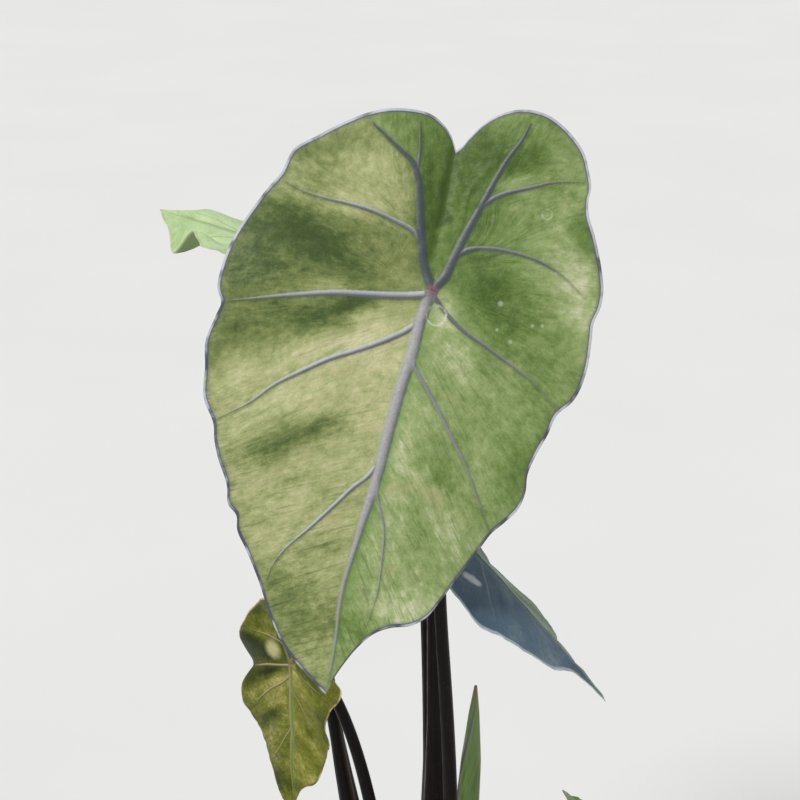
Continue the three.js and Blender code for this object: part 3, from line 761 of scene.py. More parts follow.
def with_veins(s, colour):
    """Lays painted shade along the veins, then the veins, with painted shade and painted highlights on
    their sides, and the red spot where they meet over the colour so far."""
    colours = s.colours
    dark, gleam = colours["basal"], colours["gleam"]
    # Painted shade along the veins, strongest on the side away from the light
    shade = s.math("MAXIMUM", s.mask(s.spine, 1.9), s.mask(s.lateral, 1.7))
    shade = s.times(shade, s.step(s.lit, 0.6, -1, 0.2, 0.82))
    colour = s.mix(shade, colour, colours["right"][0])
    mottled = s.plus(0.5, s.times(s.grain, 1.7))
    ragged = s.times(s.grain, 0.9)

    # The midrib, greener towards the tip, and the darker basal ribs, with painted shade on the side
    # away from the light and along their edges and a painted highlight on the lit side
    rib = s.mix(s.step(s.v, -4, 12), dark, colours["midrib"])
    rib = s.mix(s.step(s.v, 90, 190, 0, 0.45), rib, colours["right"][2])
    rib = s.mix(s.times(mottled, 0.42), rib, dark)
    rib = s.mix(s.step(s.lit, -0.1, -0.8, 0, 0.7), rib, dark)
    rib = s.mix(s.step(s.lit, 0.1, 0.8, 0, 0.36), rib, gleam)
    rib = s.mix(s.step(s.math("DIVIDE", s.spine, s.spine_half), 0.5, 0, 0, 0.25), rib, dark)

    # The other veins, palest on the left and towards the tip, with painted shade along their edges and
    # on the side away from the light and a painted highlight on the lit side
    pale_left = s.times(s.step(s.side, 3, -3), s.step(s.v, -50, 10, 0.3, 0.9))
    pale = s.math("MAXIMUM", pale_left, s.step(s.v, 8, 45, 0.2, 0.65))
    vein = s.mix(pale, dark, colours["vein"])
    vein = s.mix(s.times(mottled, 0.25), vein, dark)
    vein = s.mix(s.step(s.math("DIVIDE", s.lateral, s.lateral_half), 0.5, 0, 0, 0.3), vein, dark)
    vein = s.mix(s.step(s.lit, 0.15, -0.45, 0, 0.75), vein, colours["rim"])
    painted_highlight = s.times(s.step(s.lit, 0.1, 0.55, 0, 0.75), s.step(s.side, 3, -3, 0.45, 1))
    vein = s.mix(painted_highlight, vein, gleam)
    fading = s.step(s.lateral_share, 1, 0.5, 0.2, 0.9)
    colour = s.mix(s.times(s.mask(s.plus(s.lateral, ragged), 0.5), fading), colour, vein)
    colour = s.mix(s.times(s.mask(s.plus(s.spine, ragged), 0.6), 0.92), colour, rib)
    spot = s.step(s.plus(s.reach, s.times(s.grain, 3)), 3.8, 1.4, 0, 0.5)
    return s.mix(spot, colour, RED_SPOT)


def with_marks(s, colour, marks):
    """Lays water rings and pale spots over the colour so far."""
    mark, strength = s.colours["mark"]
    for across, down, size, ring in marks:
        inputs = {0: s.join(s.u, s.v), 1: (across, down, 0)}
        gap = s.add("ShaderNodeVectorMath", inputs, operation="DISTANCE").outputs["Value"]
        gap = s.plus(gap, s.times(s.speck, 0.7), s.times(s.pebbles, size * 0.5))
        if ring:
            edge = s.math("ABSOLUTE", s.math("SUBTRACT", gap, size))
            broken = s.step(s.pebbles, -0.12, 0.1, 0.2 * ring, 0.7 * ring)
            colour = s.mix(s.step(gap, size, size * 0.6, 0, 0.3 * ring), colour, WET_GREEN)
            colour = s.mix(s.times(s.step(edge, 0.8, 0.1), broken), colour, WATER_MARK)
        else:
            colour = s.mix(s.step(gap, size * 1.2, size * 0.3, 0, strength), colour, mark)
    return colour


def with_rim(s, colour):
    """Lays a slate rim, with soft painted gleams of light on its outer edge, over the colour so far."""
    slate, width = s.colours["rim"], s.colours["rim_width"]
    painted_gleams = s.step(s.plus(s.patches(14, 30, 2), s.step(s.v, 90, 0, -0.03, 0.1)), -0.08, 0.14)
    rim = s.mix(painted_gleams, slate, s.colours["gleam"])
    rim = s.mix(s.step(s.rim, 0.4, 1.1), rim, slate)
    colour = s.mix(s.step(s.rim, 3.2, 1, 0, 0.35), colour, slate)
    return s.mix(s.step(s.rim, width, width * 0.65), colour, rim)


def leaf_material(look, seed, scale):
    s = UpperFace(look, seed)
    colour = with_rim(s, with_marks(s, with_veins(s, flesh(s)), MARKS.get(look, [])))
    height = s.weighted((s.wrinkle, 0.17), (s.fine, 0.34), (s.speck, 0.12), (s.pebbles, 0.75),
                        (s.lines, -0.06))
    return s.finish(colour, height, scale, s.plus(0.5, s.times(s.speck, 0.2)))


def under_material(look, seed, scale):
    """The paler underside, with its net of fine veins and its stout dark ribs."""
    s = LeafShader("under", look, seed, 0.6)
    pale, dark = s.colours["under"], s.colours["left"][1]
    clear = s.step(s.spine, 0, -2)
    streak = s.times(s.net(3, 20, 2.0, 4), clear)
    net = s.times(s.step(s.net(1.9, 34, 6.0, 1), 0.56, 0.68), clear)
    mottle = s.noise(s.join(s.u, s.v, seed), 1 / 8, 4)
    dim = [(one + other) / 2 for one, other in zip(pale, dark)]
    colour = s.mix(s.weighted((streak, 0.8), (mottle, 0.4)), pale, dim)
    colour = s.mix(s.times(net, 0.22), colour, dark)
    ribs = s.math("MAXIMUM", s.mask(s.spine, 0.8), s.mask(s.lateral, 0.7))
    colour = s.mix(s.times(ribs, 0.85), colour, s.colours["under_rib"])
    colour = s.mix(s.step(s.rim, 2.4, 1), colour, s.colours["rim"])
    return s.finish(colour, s.weighted((streak, 0.6), (net, 0.5), (mottle, 1)), 0.5 * scale)


def stalk_material(name, dark, ripe, fresh):
    """A near-black stalk with fine lengthwise fibres, a thin bloom and small pale flecks."""
    s = Shader(name, 0.38, Specular_IOR_Level=0.13)
    around, along, lip = s.field("stalk")
    fibres = s.drawn(around, 1.1, along, 0.03, 1.0, 3)
    patches = s.drawn(around, 0.09, along, 0.02, 4.0, 3)
    bloom = s.drawn(around, 0.3, along, 0.12, 8.0, 4)
    flecks = s.drawn(around, 0.8, along, 0.3, 2.0, 2)
    colour = s.mix(s.step(fibres, 0.3, 0.7), dark, ripe)
    colour = s.mix(s.step(patches, 0.5, 0.75, 0, 0.5), colour, fresh)
    colour = s.mix(s.step(bloom, 0.55, 0.8, 0, 0.14), colour, (84, 74, 80))
    colour = s.mix(s.step(flecks, 0.68, 0.74, 0, 0.3), colour, (104, 88, 76))
    foot = s.times(s.step(along, 62, 10), s.step(fibres, 0.35, 0.65, 0.15, 0.75))
    colour = s.mix(foot, colour, (82, 56, 48))
    colour = s.mix(s.times(lip, 0.7), colour, (108, 80, 62))
    height = s.weighted((fibres, 0.2), (flecks, 0.06))
    return s.finish(colour, height, 1, s.step(bloom, 0.3, 0.8, 0.34, 0.52))


# Blades. Flat points are (across, towards the tip) on a full-size blade
def spoke_margin(leaf):
    """The margin as evenly spaced points, with the tip and the bottom of the notch among them."""
    half = leaf["spokes"] // 2
    return np.vstack([spaced(smooth_path(side, MARGIN_STEP), half + 1)[:-1]
                      for side in (LEFT_MARGIN, RIGHT_MARGIN)])


def line_distances(points, line):
    """Each point's distance from a line of points, its share along it and its way from it."""
    start = line[:-1]
    span = np.diff(line, axis=0)
    stations = distances_along(line)
    length = np.diff(stations)
    away = points[:, None] - start
    share = np.clip((away * span).sum(axis=2) / length**2, 0, 1)
    aside = away - share[..., None] * span
    distance = np.linalg.norm(aside, axis=2)
    nearest = distance.argmin(axis=1)
    row = np.arange(len(points))
    place = stations[nearest] + share[row, nearest] * length[nearest]
    return distance[row, nearest], place / stations[-1], aside[row, nearest]


def vein_depths(points, veins):
    """For each vein: how far inside it each point lies, its half width there, the share along it
    and the point's way from it."""
    for widths, path in veins.values():
        distance, share, aside = line_distances(points, smooth_path(path, VEIN_MAP_STEP))
        half = pair_value(widths, share) / 2
        yield half - distance, half, share, aside


def vein_field(points, veins):
    """How far inside the nearest vein each point lies, its half width and the share along it."""
    field = np.full((len(points), 3), -VEIN_REACH, float)
    for inside, half, share, _ in vein_depths(points, veins):
        closer = inside > field[:, 0]
        field[closer] = np.stack([inside, half, share], 1)[closer]
    return field


def lit_field(leaf, points):
    """How far to the lit side (above 0) or the shaded side of its vein each point lies, in half
    widths, fading where two veins are equally near."""
    travel = unit(LIGHT_TRAVEL * (leaf["hand"], 1))
    best = np.full(len(points), -VEIN_REACH, float)
    second = best.copy()
    lit = np.zeros(len(points))
    for inside, half, _, aside in vein_depths(points, VEINS):
        closer = inside > best
        second = np.where(closer, best, np.maximum(second, inside))
        best = np.where(closer, inside, best)
        lit[closer] = -(aside @ travel / half)[closer]
    return np.clip(lit, -2, 2) * smooth_step(best - second, 0, 1.5)


def lane_field(points):
    """The fine net's own coordinates: across its lines, along them, and the side of the line
    where the colours change."""
    side = points[:, 0] - pair_value(DIVIDE, points[:, 1])
    result = np.zeros((len(points), 3))
    result[:, 2] = points[:, 0] - pair_value(COLOUR_DIVIDE, points[:, 1])
    for guides, on_side, sign in ((LEFT_GUIDES, side <= 0, 1), (RIGHT_GUIDES, side > 0, -1)):
        here = points[on_side]
        total, across, along = np.zeros((3, len(here)))
        lane = 0.0
        middle = None
        for start, end in np.array(guides, float):
            way = unit(end - start)
            aside = np.array([way[1], -way[0]]) * sign
            if middle is not None:
                lane += np.linalg.norm((start + end) / 2 - middle)
            middle = (start + end) / 2
            distance = line_distances(here, np.stack([start, end]))[0]
            weight = 1 / (distance**2 + GUIDE_SOFTNESS**2) ** 1.5
            total += weight
            across += weight * (lane + (here - start) @ aside)
            along += weight * ((here - start) @ way)
        result[on_side, 0] = across / total
        result[on_side, 1] = along / total
    return result


def lean_field(points, seed):
    """How far the upper face leans to the light at each point, which is painted into its colour as
    light and shade, and the height that this gives.
    """
    light = np.zeros(len(points))
    height = np.zeros(len(points))
    shifted = points.copy()
    for width, length, shifts, own in LEAN_SHIFTS:
        x, y = points[:, 0] / width, points[:, 1] / length
        ragged = np.stack([value_noise(x, y, seed + own), value_noise(x, y, seed + own + 1)], 1)
        shifted += ragged * shifts
    for across, down, length, width, degrees, strength in LEANS:
        turn = math.radians(degrees)
        long = np.array([math.cos(turn), math.sin(turn)])
        short = np.array([-long[1], long[0]])
        short *= np.sign(short @ LIGHT_TRAVEL)
        oval = np.stack([long / (length * LEAN_SPREAD[0]), short / (width * LEAN_SPREAD[1])], 1)
        x, y = ((shifted - (across, down)) @ oval).T
        light += strength * (SWELL_LIGHT if strength > 0 else 1) * np.exp(-(x**2) - y**2)
        x, y = ((points - (across, down)) @ oval).T
        slope = strength * LEAN_SLOPE * (short @ LIGHT_TRAVEL)
        height += slope * width * (np.tanh(1.2 * y) - np.tanh(0.4 * y)) * np.exp(-(x**2))
    return light, height


def fold_height(leaf, points, reach):
    """The part's own height over the blade's flat plane, points as they lie on this leaf."""
    u, v = points[:, 0], points[:, 1]
    waves = np.sin(leaf["ripples"] * np.arctan2(u, v) + leaf["phase"])
    return (leaf["fold"] * (np.hypot(u, FOLD_SOFTNESS) - FOLD_SOFTNESS)
            - leaf["droop"] * (u / 100) ** 2
            - leaf["arch"] * (v / 100) ** 2
            + leaf["wave"] * reach**3 * waves)


def margin_reach(points):
    """Each point's distance from the attachment as a share of the margin's in that direction."""
    margin = smooth_path(LEFT_MARGIN + RIGHT_MARGIN[1:], MARGIN_STEP)
    turns = np.arctan2(margin[:, 0], margin[:, 1])
    order = np.argsort(turns)
    far = np.interp(np.arctan2(points[:, 0], points[:, 1]), turns[order],
                    np.linalg.norm(margin, axis=1)[order], period=2 * math.pi)
    return np.linalg.norm(points, axis=1) / far


def bitten(leaf, flat):
    """The flat points with the margin drawn in at the leaf's bites."""
    turn = np.degrees(np.arctan2(flat[:, 0], flat[:, 1]))
    pull = np.zeros(len(flat))
    for middle, width, depth in leaf.get("bites", []):
        pull += depth * bell(turn - middle, width)
    return flat * (1 - pull * smooth_step(margin_reach(flat), 0.55, 1))[:, None]


def upper_height(leaf, points, reach, lane, lean):
    """The upper face over the blade's flat plane: its folds, leans, fine net and waved margin."""
    seed = leaf["seed"]
    aside = np.abs(points[:, 0] - pair_value(DIVIDE, points[:, 1]))
    net = relief(lane, NET_RELIEF, seed)
    net *= smooth_step(aside, 0, 9) * smooth_step(np.linalg.norm(points, axis=1), 6, 34)
    crease = smooth_step(-points[:, 1], 6, 20) * bell(aside, CREASE_WIDTH)
    height = lean + net + relief(points, FLESH_RELIEF, seed) - CREASE_DEPTH * crease
    turn = np.arctan2(points[:, 0], points[:, 1])
    edge = smooth_step(reach, 0.84, 1)
    height += MARGIN_RELIEF * edge * value_noise(turn * 9, turn * 0 + 3.5, seed + 3)
    for middle, width, lift in leaf.get("curls", []):
        height += lift * smooth_step(reach, 0.74, 1) * bell(np.degrees(turn) - middle, width)
    return fold_height(leaf, points * (leaf["hand"], 1), reach) + height * smooth_step(reach, 0.03, 0.12)


def placed(leaf, flat, height):
    """Flat points and their heights, as they lie in the part."""
    flat = bitten(leaf, flat)
    across = np.where(flat[:, 0] < 0, leaf.get("narrow", 1), 1) * flat[:, 0] * leaf["hand"]
    local = np.stack([across, -flat[:, 1], height], 1) * leaf["scale"]
    face = unit(leaf["face"])
    back = -np.array(leaf["tip"], float)
    back = unit(back - back @ face * face)
    return local @ np.stack([np.cross(back, face), back, face]) + np.array(leaf["at"], float)


def stalk_curve(leaf, count=600):
    """The stalk's curve as evenly spaced points, from its foot to the blade."""
    at = np.array(leaf["at"], float)
    pulls = [(*leaf["foot"], STALK_FOOT), leaf["rise"], at - unit(leaf["face"]) * leaf["reach"], at]
    a, b, c, d = (np.array(pull, float) for pull in pulls)
    t = np.linspace(0, 1, count)[:, None]
    bent = a * (1 - t) ** 3 + 3 * b * t * (1 - t) ** 2 + 3 * c * t**2 * (1 - t) + d * t**3
    return spaced(bent, count)


def stalk_body(leaf, start, end):
    """The stalk between two distances from its foot: its vertices, faces and field."""
    curve = stalk_curve(leaf)
    length = distances_along(curve)[-1]
    stations = np.linspace(start, end, max(6, round((end - start) / STALK_STEP)))
    wanted = stations / length
    path = read_line(curve, np.linspace(0, 1, len(curve)), wanted)
    foot, middle, top = leaf["radius"]
    pairs = [(0, foot), (0.1, foot * 0.92), (0.32, middle), (0.9, top), (1, top * 1.5)]
    radius = pair_value(pairs, wanted)[:, None]
    turns = even_turns(STALK_SIDES)
    inward = np.array(CORM_CENTRE, float) - leaf["foot"]
    groove = wrapped(turns - math.atan2(inward[1], inward[0]))
    sheath = smooth_step(wanted, *SHEATH_SHARES)[:, None]
    lips = sheath * bell(np.abs(groove) - LIP_TURN, LIP_WIDTH)
    radii = radius * (1 - GROOVE_DEPTH * sheath * bell(groove, GROOVE_WIDTH) + LIP_HEIGHT * lips)
    radii *= 1 + 0.012 * np.sin(turns * 9 + leaf["seed"]) + 0.008 * np.sin(turns * 17)
    around = radius * np.sin(turns / 2) * 4
    field = np.stack(np.broadcast_arrays(around, stations[:, None], lips), 2).reshape(-1, 3)
    vertices, faces = closed_skin(tube_rings(path, radii))
    return vertices, faces, np.vstack([field, [[0, start, 0], [0, end, 0]]])


def rib_sections(scale):
    """For each vein, the flat points of its upper and lower arcs and their heights."""
    upper = np.linspace(-1, 1, RIB_ARC_POINTS)
    lower = upper[::-1]
    hump = (np.cos(upper * math.pi) + 1) / 2
    arc = (1 - lower**2) ** 0.6
    for widths, path in VEINS.values():
        line = smooth_path(path, VEIN_STEP / max(scale, 0.5))
        half = pair_value(widths, np.linspace(0, 1, len(line)))[:, None] / 2
        way = np.gradient(line, axis=0)
        way /= np.linalg.norm(way, axis=1)[:, None]
        aside = np.column_stack([-way[:, 1], way[:, 0]])[:, None]
        offsets = half * np.concatenate([upper * VEIN_SKIRT, lower * RIB_WIDENING])
        fade = smooth_step(np.linspace(0, 1, len(line)), 1, VEIN_FADE)[:, None]
        yield (line[:, None] + aside * offsets[..., None], half * VEIN_HEIGHT * hump * fade,
               half * 2 * RIB_DEPTH * arc * fade)


def sheet_faces(rings, spokes, hand):
    """The faces of a blade's sheet, which are its upper face, its underside and the bead that
    rounds its rim, and their kinds."""
    count = 1 + rings * spokes
    fan = [(0, 1 + side, 1 + (side + 1) % spokes)[::hand] for side in range(spokes)]
    upper = fan + [(a, d, c, b)[::hand] for a, b, c, d in ring_faces(rings, spokes, 1)]
    lower = [tuple(index + count for index in face[::-1]) for face in upper]
    beads = [2 * count + row * spokes for row in range(len(BEAD))]
    starts = [count - spokes, *beads, 2 * count - spokes]
    rounding = []
    for near, far in zip(starts[:-1], starts[1:]):
        for side in range(spokes):
            following = (side + 1) % spokes
            rounding.append((near + side, far + side, far + following, near + following)[::hand])
    return upper + lower + rounding, [0] * len(upper) + [1] * len(lower) + [0] * len(rounding)


def blade(leaf):
    """The blade, its ribs, raised above and stout below, and the stub of its stalk."""
    scale, seed, look = leaf["scale"], leaf["seed"], leaf["look"]
    margin = spoke_margin(leaf)
    spokes = len(margin)
    margin_length = np.linalg.norm(margin, axis=1)
    reaches = np.linspace(0, 1, leaf["rings"])[1:] ** RING_SPREAD * INNER_REACH
    reaches = np.concatenate([reaches, RIM_REACHES])
    sheet = np.vstack([[[0, 0]], *(margin * share for share in reaches)])
    count = len(sheet)
    sections = list(rib_sections(scale))
    points = np.vstack([sheet, *(flat.reshape(-1, 2) for flat, _, _ in sections)])

    # What each point knows: the share of the way to the margin, the distance from the rim, the
    # place in the net and by the veins, the light and shade painted on it and its height above and below
    reach = margin_reach(points)
    reach[:count] = np.concatenate([[0], np.repeat(reaches, spokes)])
    rim = margin_length.mean() * (1 - reach)
    rim[:count] = np.concatenate([[100], *(margin_length * (1 - share) for share in reaches)])
    lane = lane_field(points)
    light, lean = lean_field(points, seed)
    top = upper_height(leaf, points, reach, lane, lean)
    below = top - SHEET_THICKNESS / scale * (EDGE_SHARE + (1 - EDGE_SHARE) * smooth_step(reach, 1, 0.9))
    fields = {"leaf": np.column_stack([points, rim]), "lane": lane,
              "spine": vein_field(points, SPINE), "lateral": vein_field(points, LATERALS),
              "painted_light": np.column_stack([light, lit_field(leaf, points), 0 * light])}

    def fields_at(rows):
        return {name: values[rows] for name, values in fields.items()}

    # The sheet
    bodies = Bodies()
    rows = np.arange(count)
    edge = rows[-spokes:]
    outward = margin / margin_length[:, None]
    middle, half = (top[edge] + below[edge]) / 2, (top[edge] - below[edge]) / 2
    skins = [placed(leaf, sheet, top[:count]), placed(leaf, sheet, below[:count])]
    skins += [placed(leaf, margin + outward * out / scale, middle + half * up)
              for out, up in BEAD]
    bodies.add(np.vstack(skins), *sheet_faces(len(reaches), spokes, leaf["hand"]),
               **fields_at(np.concatenate([rows, rows, *[edge] * len(BEAD)])))

    # The ribs, each a closed body through the sheet
    start = count
    for flat, above, under in sections:
        rows = np.arange(start, start + flat[..., 0].size).reshape(flat.shape[:2])
        start += rows.size
        upper, lower = rows[:, :RIB_ARC_POINTS], rows[:, RIB_ARC_POINTS:]
        heights = np.concatenate([top[upper] - RIB_SINK / scale + above,
                                  below[lower] + STOUT_RIB_SINK / scale - under], 1)
        skin = placed(leaf, flat.reshape(-1, 2), heights.ravel()).reshape(*rows.shape, 3)
        vertices, faces = closed_skin(skin)
        sides = rows.shape[1]
        kinds = [int(min(index % sides for index in face[:2]) >= RIB_ARC_POINTS) for face in faces]
        bodies.add(vertices, [face[::leaf["hand"]] for face in faces], kinds,
                   **fields_at([*rows.ravel(), rows[0, 0], rows[0, 0]]))

    # The stub
    length = distances_along(stalk_curve(leaf))[-1]
    vertices, faces, field = stalk_body(leaf, length - STUB_LENGTH * scale, length - STUB_INSET)
    bodies.add(vertices, faces, [2] * len(faces), stalk=field)
    materials = [leaf_material(look, seed, scale), under_material(look, seed, scale),
                 stalk_looks.get(look, black_stalk)]
    return make_piece(f"{leaf['name']}_leaf", f"{leaf['name']}_blade", leaf["slot"], bodies, materials)


def stalk(leaf):
    length = distances_along(stalk_curve(leaf))[-1]
    vertices, faces, field = stalk_body(leaf, 0, length - STUB_LENGTH * leaf["scale"] - GAP / 4)
    return make_piece(f"{leaf['name']}_stalk", f"{leaf['name']}_petiole", "stalk",
                      Bodies().add(vertices, faces, stalk=field),
                      [stalk_looks.get(leaf["look"], black_stalk)])


black_stalk = stalk_material("black_stalk", (10, 6, 5), (22, 14, 12), (36, 22, 24))
stalk_looks = {"young": stalk_material("young_stalk", (30, 22, 22), (52, 42, 34), (74, 72, 46))}
for leaf in LEAVES:
    blade(leaf)
    stalk(leaf)


# The rolled new leaf
def roll_material():
    """Green streaks above a dark stem, with a slate edge and a dry tip."""
    s = Shader("rolled_leaf", 0.4, Coat_Weight=0.15, Coat_Roughness=0.3)
    around, along, height = s.field("roll")
    streak = s.drawn(around, 4, along, 0.06, 3.0, 4)
    green = s.ramp(streak, [(54, 78, 34), (84, 112, 52), (112, 138, 72), (146, 162, 100)])
    stem = s.mix(streak, (22, 16, 16), (48, 40, 34))
    colour = s.mix(s.step(height, 0.36, 0.52), stem, green)
    lip = s.times(s.step(s.math("ABSOLUTE", around), 0.22, 0.1), s.step(height, 0.45, 0.56))
    colour = s.mix(lip, colour, (96, 84, 94))
    colour = s.mix(s.step(height, 0.93, 1), colour, (120, 96, 70))
    return s.finish(colour, streak, 0.3)


def roll():
    """The stem and the leaf rolled round it, with the leaf's edge running up it in a spiral."""
    path = smooth_path(ROLL_CURVE, ROLL_STEP)
    share = np.linspace(0, 1, len(path))
    turns = even_turns(ROLL_SIDES)
    rolled = smooth_step(share, ROLL_STARTS, ROLL_FULL) * (1 - share)
    phase = wrapped(turns - share[:, None] * ROLL_TURN)
    edge = np.where(phase < 0, np.exp(phase * 1.6), np.exp(-phase * 14))
    radii = pair_value(ROLL_RADIUS, share)[:, None] * (1 + 0.01 * np.sin(turns * 11))
    radii = radii + ROLL_EDGE * rolled[:, None] * edge
    vertices, faces = closed_skin(tube_rings(path, radii))
    place = np.stack(np.broadcast_arrays(phase, share[:, None] * ROLL_LENGTH, share[:, None]), 2)
    field = np.vstack([place.reshape(-1, 3), [[0, 0, 0], [0, ROLL_LENGTH, 1]]])
    make_piece("rolled_leaf", "new_leaf", "leaf", Bodies().add(vertices, faces, roll=field),
               [roll_material()])


roll()


# The pot
def outer_wall(z):
    return POT_FOOT_RADIUS + (POT_RIM_RADIUS - RIM_BAND_DEPTH - POT_FOOT_RADIUS) * z / POT_HEIGHT


def inner_wall(z):
    return outer_wall(z) - POT_WALL


def rounded(corners, steps=6):
    """A line with its corners rounded. Each corner is (radius, height, rounding)."""
    points = []
    for index, (x, z, size) in enumerate(corners):
        here = np.array((x, z), float)
        if size == 0:
            points.append(here)
            continue
        before = unit(np.array(corners[index - 1][:2], float) - here) * size
        after = unit(np.array(corners[index + 1][:2], float) - here) * size
        for share in np.linspace(0, 1, steps):
            points.append(here + before * (1 - share) ** 2 + after * share**2)
    return np.array(points)


def turned(profile, sides, shape, centre=(0, 0)):
    """A turned closed body from an outline that starts and ends on the axis. shape changes the
    radius and the height of its points by their turn."""
    turns = even_turns(sides)
    radius, height = (column[:, None] + 0 * turns for column in profile[1:-1].T)
    radius, height = shape(radius, height, turns)
    rings = np.stack([centre[0] + radius * np.cos(turns), centre[1] + radius * np.sin(turns), height], 2)
    vertices, faces = closed_skin(rings)
    vertices[-2, 2], vertices[-1, 2] = profile[0, 1], profile[-1, 1]
    return vertices, faces


def clay_material():
    """Fired clay with turning bands and pits, lime bloom above and below, and damp stains."""
    s = Shader("clay", 0.86)
    place = s.place()
    x, y, z = s.split(place)
    cloud = s.noise(place, 14, 5, 0.6)
    grit = s.noise(place, 900, 3, 0.7)
    bands = s.noise(s.join(0.0, 0.0, s.times(z, 260)), detail=3)
    colour = s.ramp(s.weighted((cloud, 0.7), (grit, 0.3)),
                    [(126, 70, 46), (158, 92, 62), (180, 112, 78), (200, 136, 104)])
    salt = s.noise(place, 17, 9, 0.66)
    runs = s.noise(s.join(s.times(x, 90), s.times(y, 90), s.times(z, 14)), detail=4)
    low, high = s.step(z, 0.06, 0.0, 0, 0.1), s.step(z, 0.12, 0.165, 0, 0.08)
    bloom = s.step(s.plus(s.times(salt, 0.75), s.times(runs, 0.25), low, high), 0.5, 0.76)
    colour = s.mix(s.times(bloom, 0.42), colour, (212, 190, 170))
    damp = s.plus(s.noise(place, 22, 4), s.step(z, 0.03, 0.0, 0, 0.12))
    colour = s.mix(s.step(damp, 0.52, 0.74, 0, 0.35), colour, (96, 56, 38))
    height = s.weighted((grit, 0.5), (bands, 0.5), (s.speckle(place, 420, 0.18), -0.6))
    return s.finish(colour, height, 0.25, s.step(bloom, 0, 1, 0.82, 0.95))


def hand_turned(radius, height, turns):
    """The pot's uneven walls: fine turning waves and a slight wobble."""
    wave = 0.22 * value_noise(height / 2.6, turns * 0 + 0.5, 21)
    wobble = 0.18 * np.sin(turns * 2 + 1) + 0.1 * np.sin(turns * 5 + height / 40)
    return radius + (wave + wobble) * smooth_step(radius, 30, 60), height


def pot():
    band = POT_HEIGHT - RIM_BAND_HEIGHT
    outline = rounded([
        (0, 0, 0), (POT_FOOT_RADIUS, 0, 2.5), (outer_wall(band), band, 1.2),
        (outer_wall(band) + RIM_BAND_DEPTH, band + 1.5, 1.6), (POT_RIM_RADIUS, POT_HEIGHT, 3),
        (inner_wall(POT_HEIGHT), POT_HEIGHT, 2.4), (inner_wall(POT_FLOOR), POT_FLOOR, 4),
        (0, POT_FLOOR, 0)])
    fine = [outline[0]]
    for start, end in zip(outline[:-1], outline[1:]):
        count = max(1, round(np.linalg.norm(end - start) / POT_STEP))
        fine += [start + (end - start) * step / count for step in range(1, count + 1)]
    vertices, faces = turned(np.array(fine), POT_SIDES, hand_turned)
    piece = make_piece("clay_pot", "pot", "clay", Bodies().add(vertices, faces), [clay_material()])
    for turn in even_turns(DRAIN_COUNT):
        bpy.ops.mesh.primitive_cylinder_add(
            vertices=48, radius=DRAIN_RADIUS * MM, depth=POT_FLOOR * 3 * MM,
            location=(math.cos(turn) * DRAIN_DISTANCE * MM, math.sin(turn) * DRAIN_DISTANCE * MM, 0))
        drill = bpy.context.object
        cut = piece.modifiers.new("drain", "BOOLEAN")
        cut.operation = "DIFFERENCE"
        cut.solver = "EXACT"
        cut.object = drill
        bpy.context.view_layer.objects.active = piece
        bpy.ops.object.modifier_apply(modifier=cut.name)
        bpy.data.objects.remove(drill)


pot()


# The corm, with the rings of old leaf scars, dry fibres and the dry remains of old sheaths
def scrap(rng, centre, radius, middle, half_arc, height, flare):
    """A thin curved remnant with a ragged top: its vertices, faces and crown field."""
    across = np.linspace(-1, 1, SCRAP_COLUMNS)
    up = np.linspace(0, 1, SCRAP_ROWS)[:, None]
    shift = rng.uniform(0, 50)
    ragged = 0.75 + 0.45 * value_noise(across * 3.5 + shift, across * 0 + 2.5, 36)
    tops = height * (1 - 0.8 * np.abs(across) ** 1.8) * ragged
    wrinkles = 0.5 * value_noise(across * 9 + shift, up * 1.5 + 0.5, 37) + 0.12 * np.sin(across * 34)
    distance = radius + flare * up**2 * (0.6 + 0.4 * np.cos(across * 4 + shift)) + wrinkles
    turns = middle + across * half_arc
    sheets = []
    for side in (1, -1):
        reach = distance + side * SCRAP_THICKNESS / 2
        sheets.append(np.stack([centre[0] + reach * np.cos(turns), centre[1] + reach * np.sin(turns),
                                SCRAP_BASE + up * tops], 2).reshape(-1, 3))
    grid = np.arange(SCRAP_ROWS * SCRAP_COLUMNS).reshape(SCRAP_ROWS, SCRAP_COLUMNS)
    count = grid.size
    faces = []
    for corner in grid[:-1, :-1].ravel():
        face = (corner, corner + 1, corner + SCRAP_COLUMNS + 1, corner + SCRAP_COLUMNS)
        faces += [face, tuple(index + count for index in face[::-1])]
    border = [*grid[0], *grid[1:, -1], *grid[-1, -2::-1], *grid[-2:0:-1, 0]]
    for near, far in zip(border, border[1:] + border[:1]):
        faces.append((far, near, near + count, far + count))
    field = np.stack(np.broadcast_arrays(1.0, up, across * half_arc * radius), 2).reshape(-1, 3)
    return np.vstack(sheets), faces, np.tile(field, (2, 1))


def scarred(radius, height, turns):
    """The corm's surface: scars and fibres on its side, rings and knobs on its crown."""
    scars = 0.9 * np.abs(np.sin(height / 3.1 + 0.6 * np.sin(turns + height / 9)))
    fibres = 0.5 * value_noise(turns * 26, height / 5, 31)
    lumps = value_noise(turns * 3, height / 12, 32)
    rings = np.abs(np.sin(radius / 2.3 + 0.8 * np.sin(turns * 2 + radius / 7)))
    knobs = value_noise(radius * np.cos(turns) / 6, radius * np.sin(turns) / 6, 33)
    crown = (1.2 * rings + 1.1 * knobs) * smooth_step(height, 146, 151) * smooth_step(radius, 1, 7)
    side = (scars + fibres + lumps - SCAR_INSET) * smooth_step(radius, 8, 26)
    return radius + side, height + 0.5 * fibres + crown


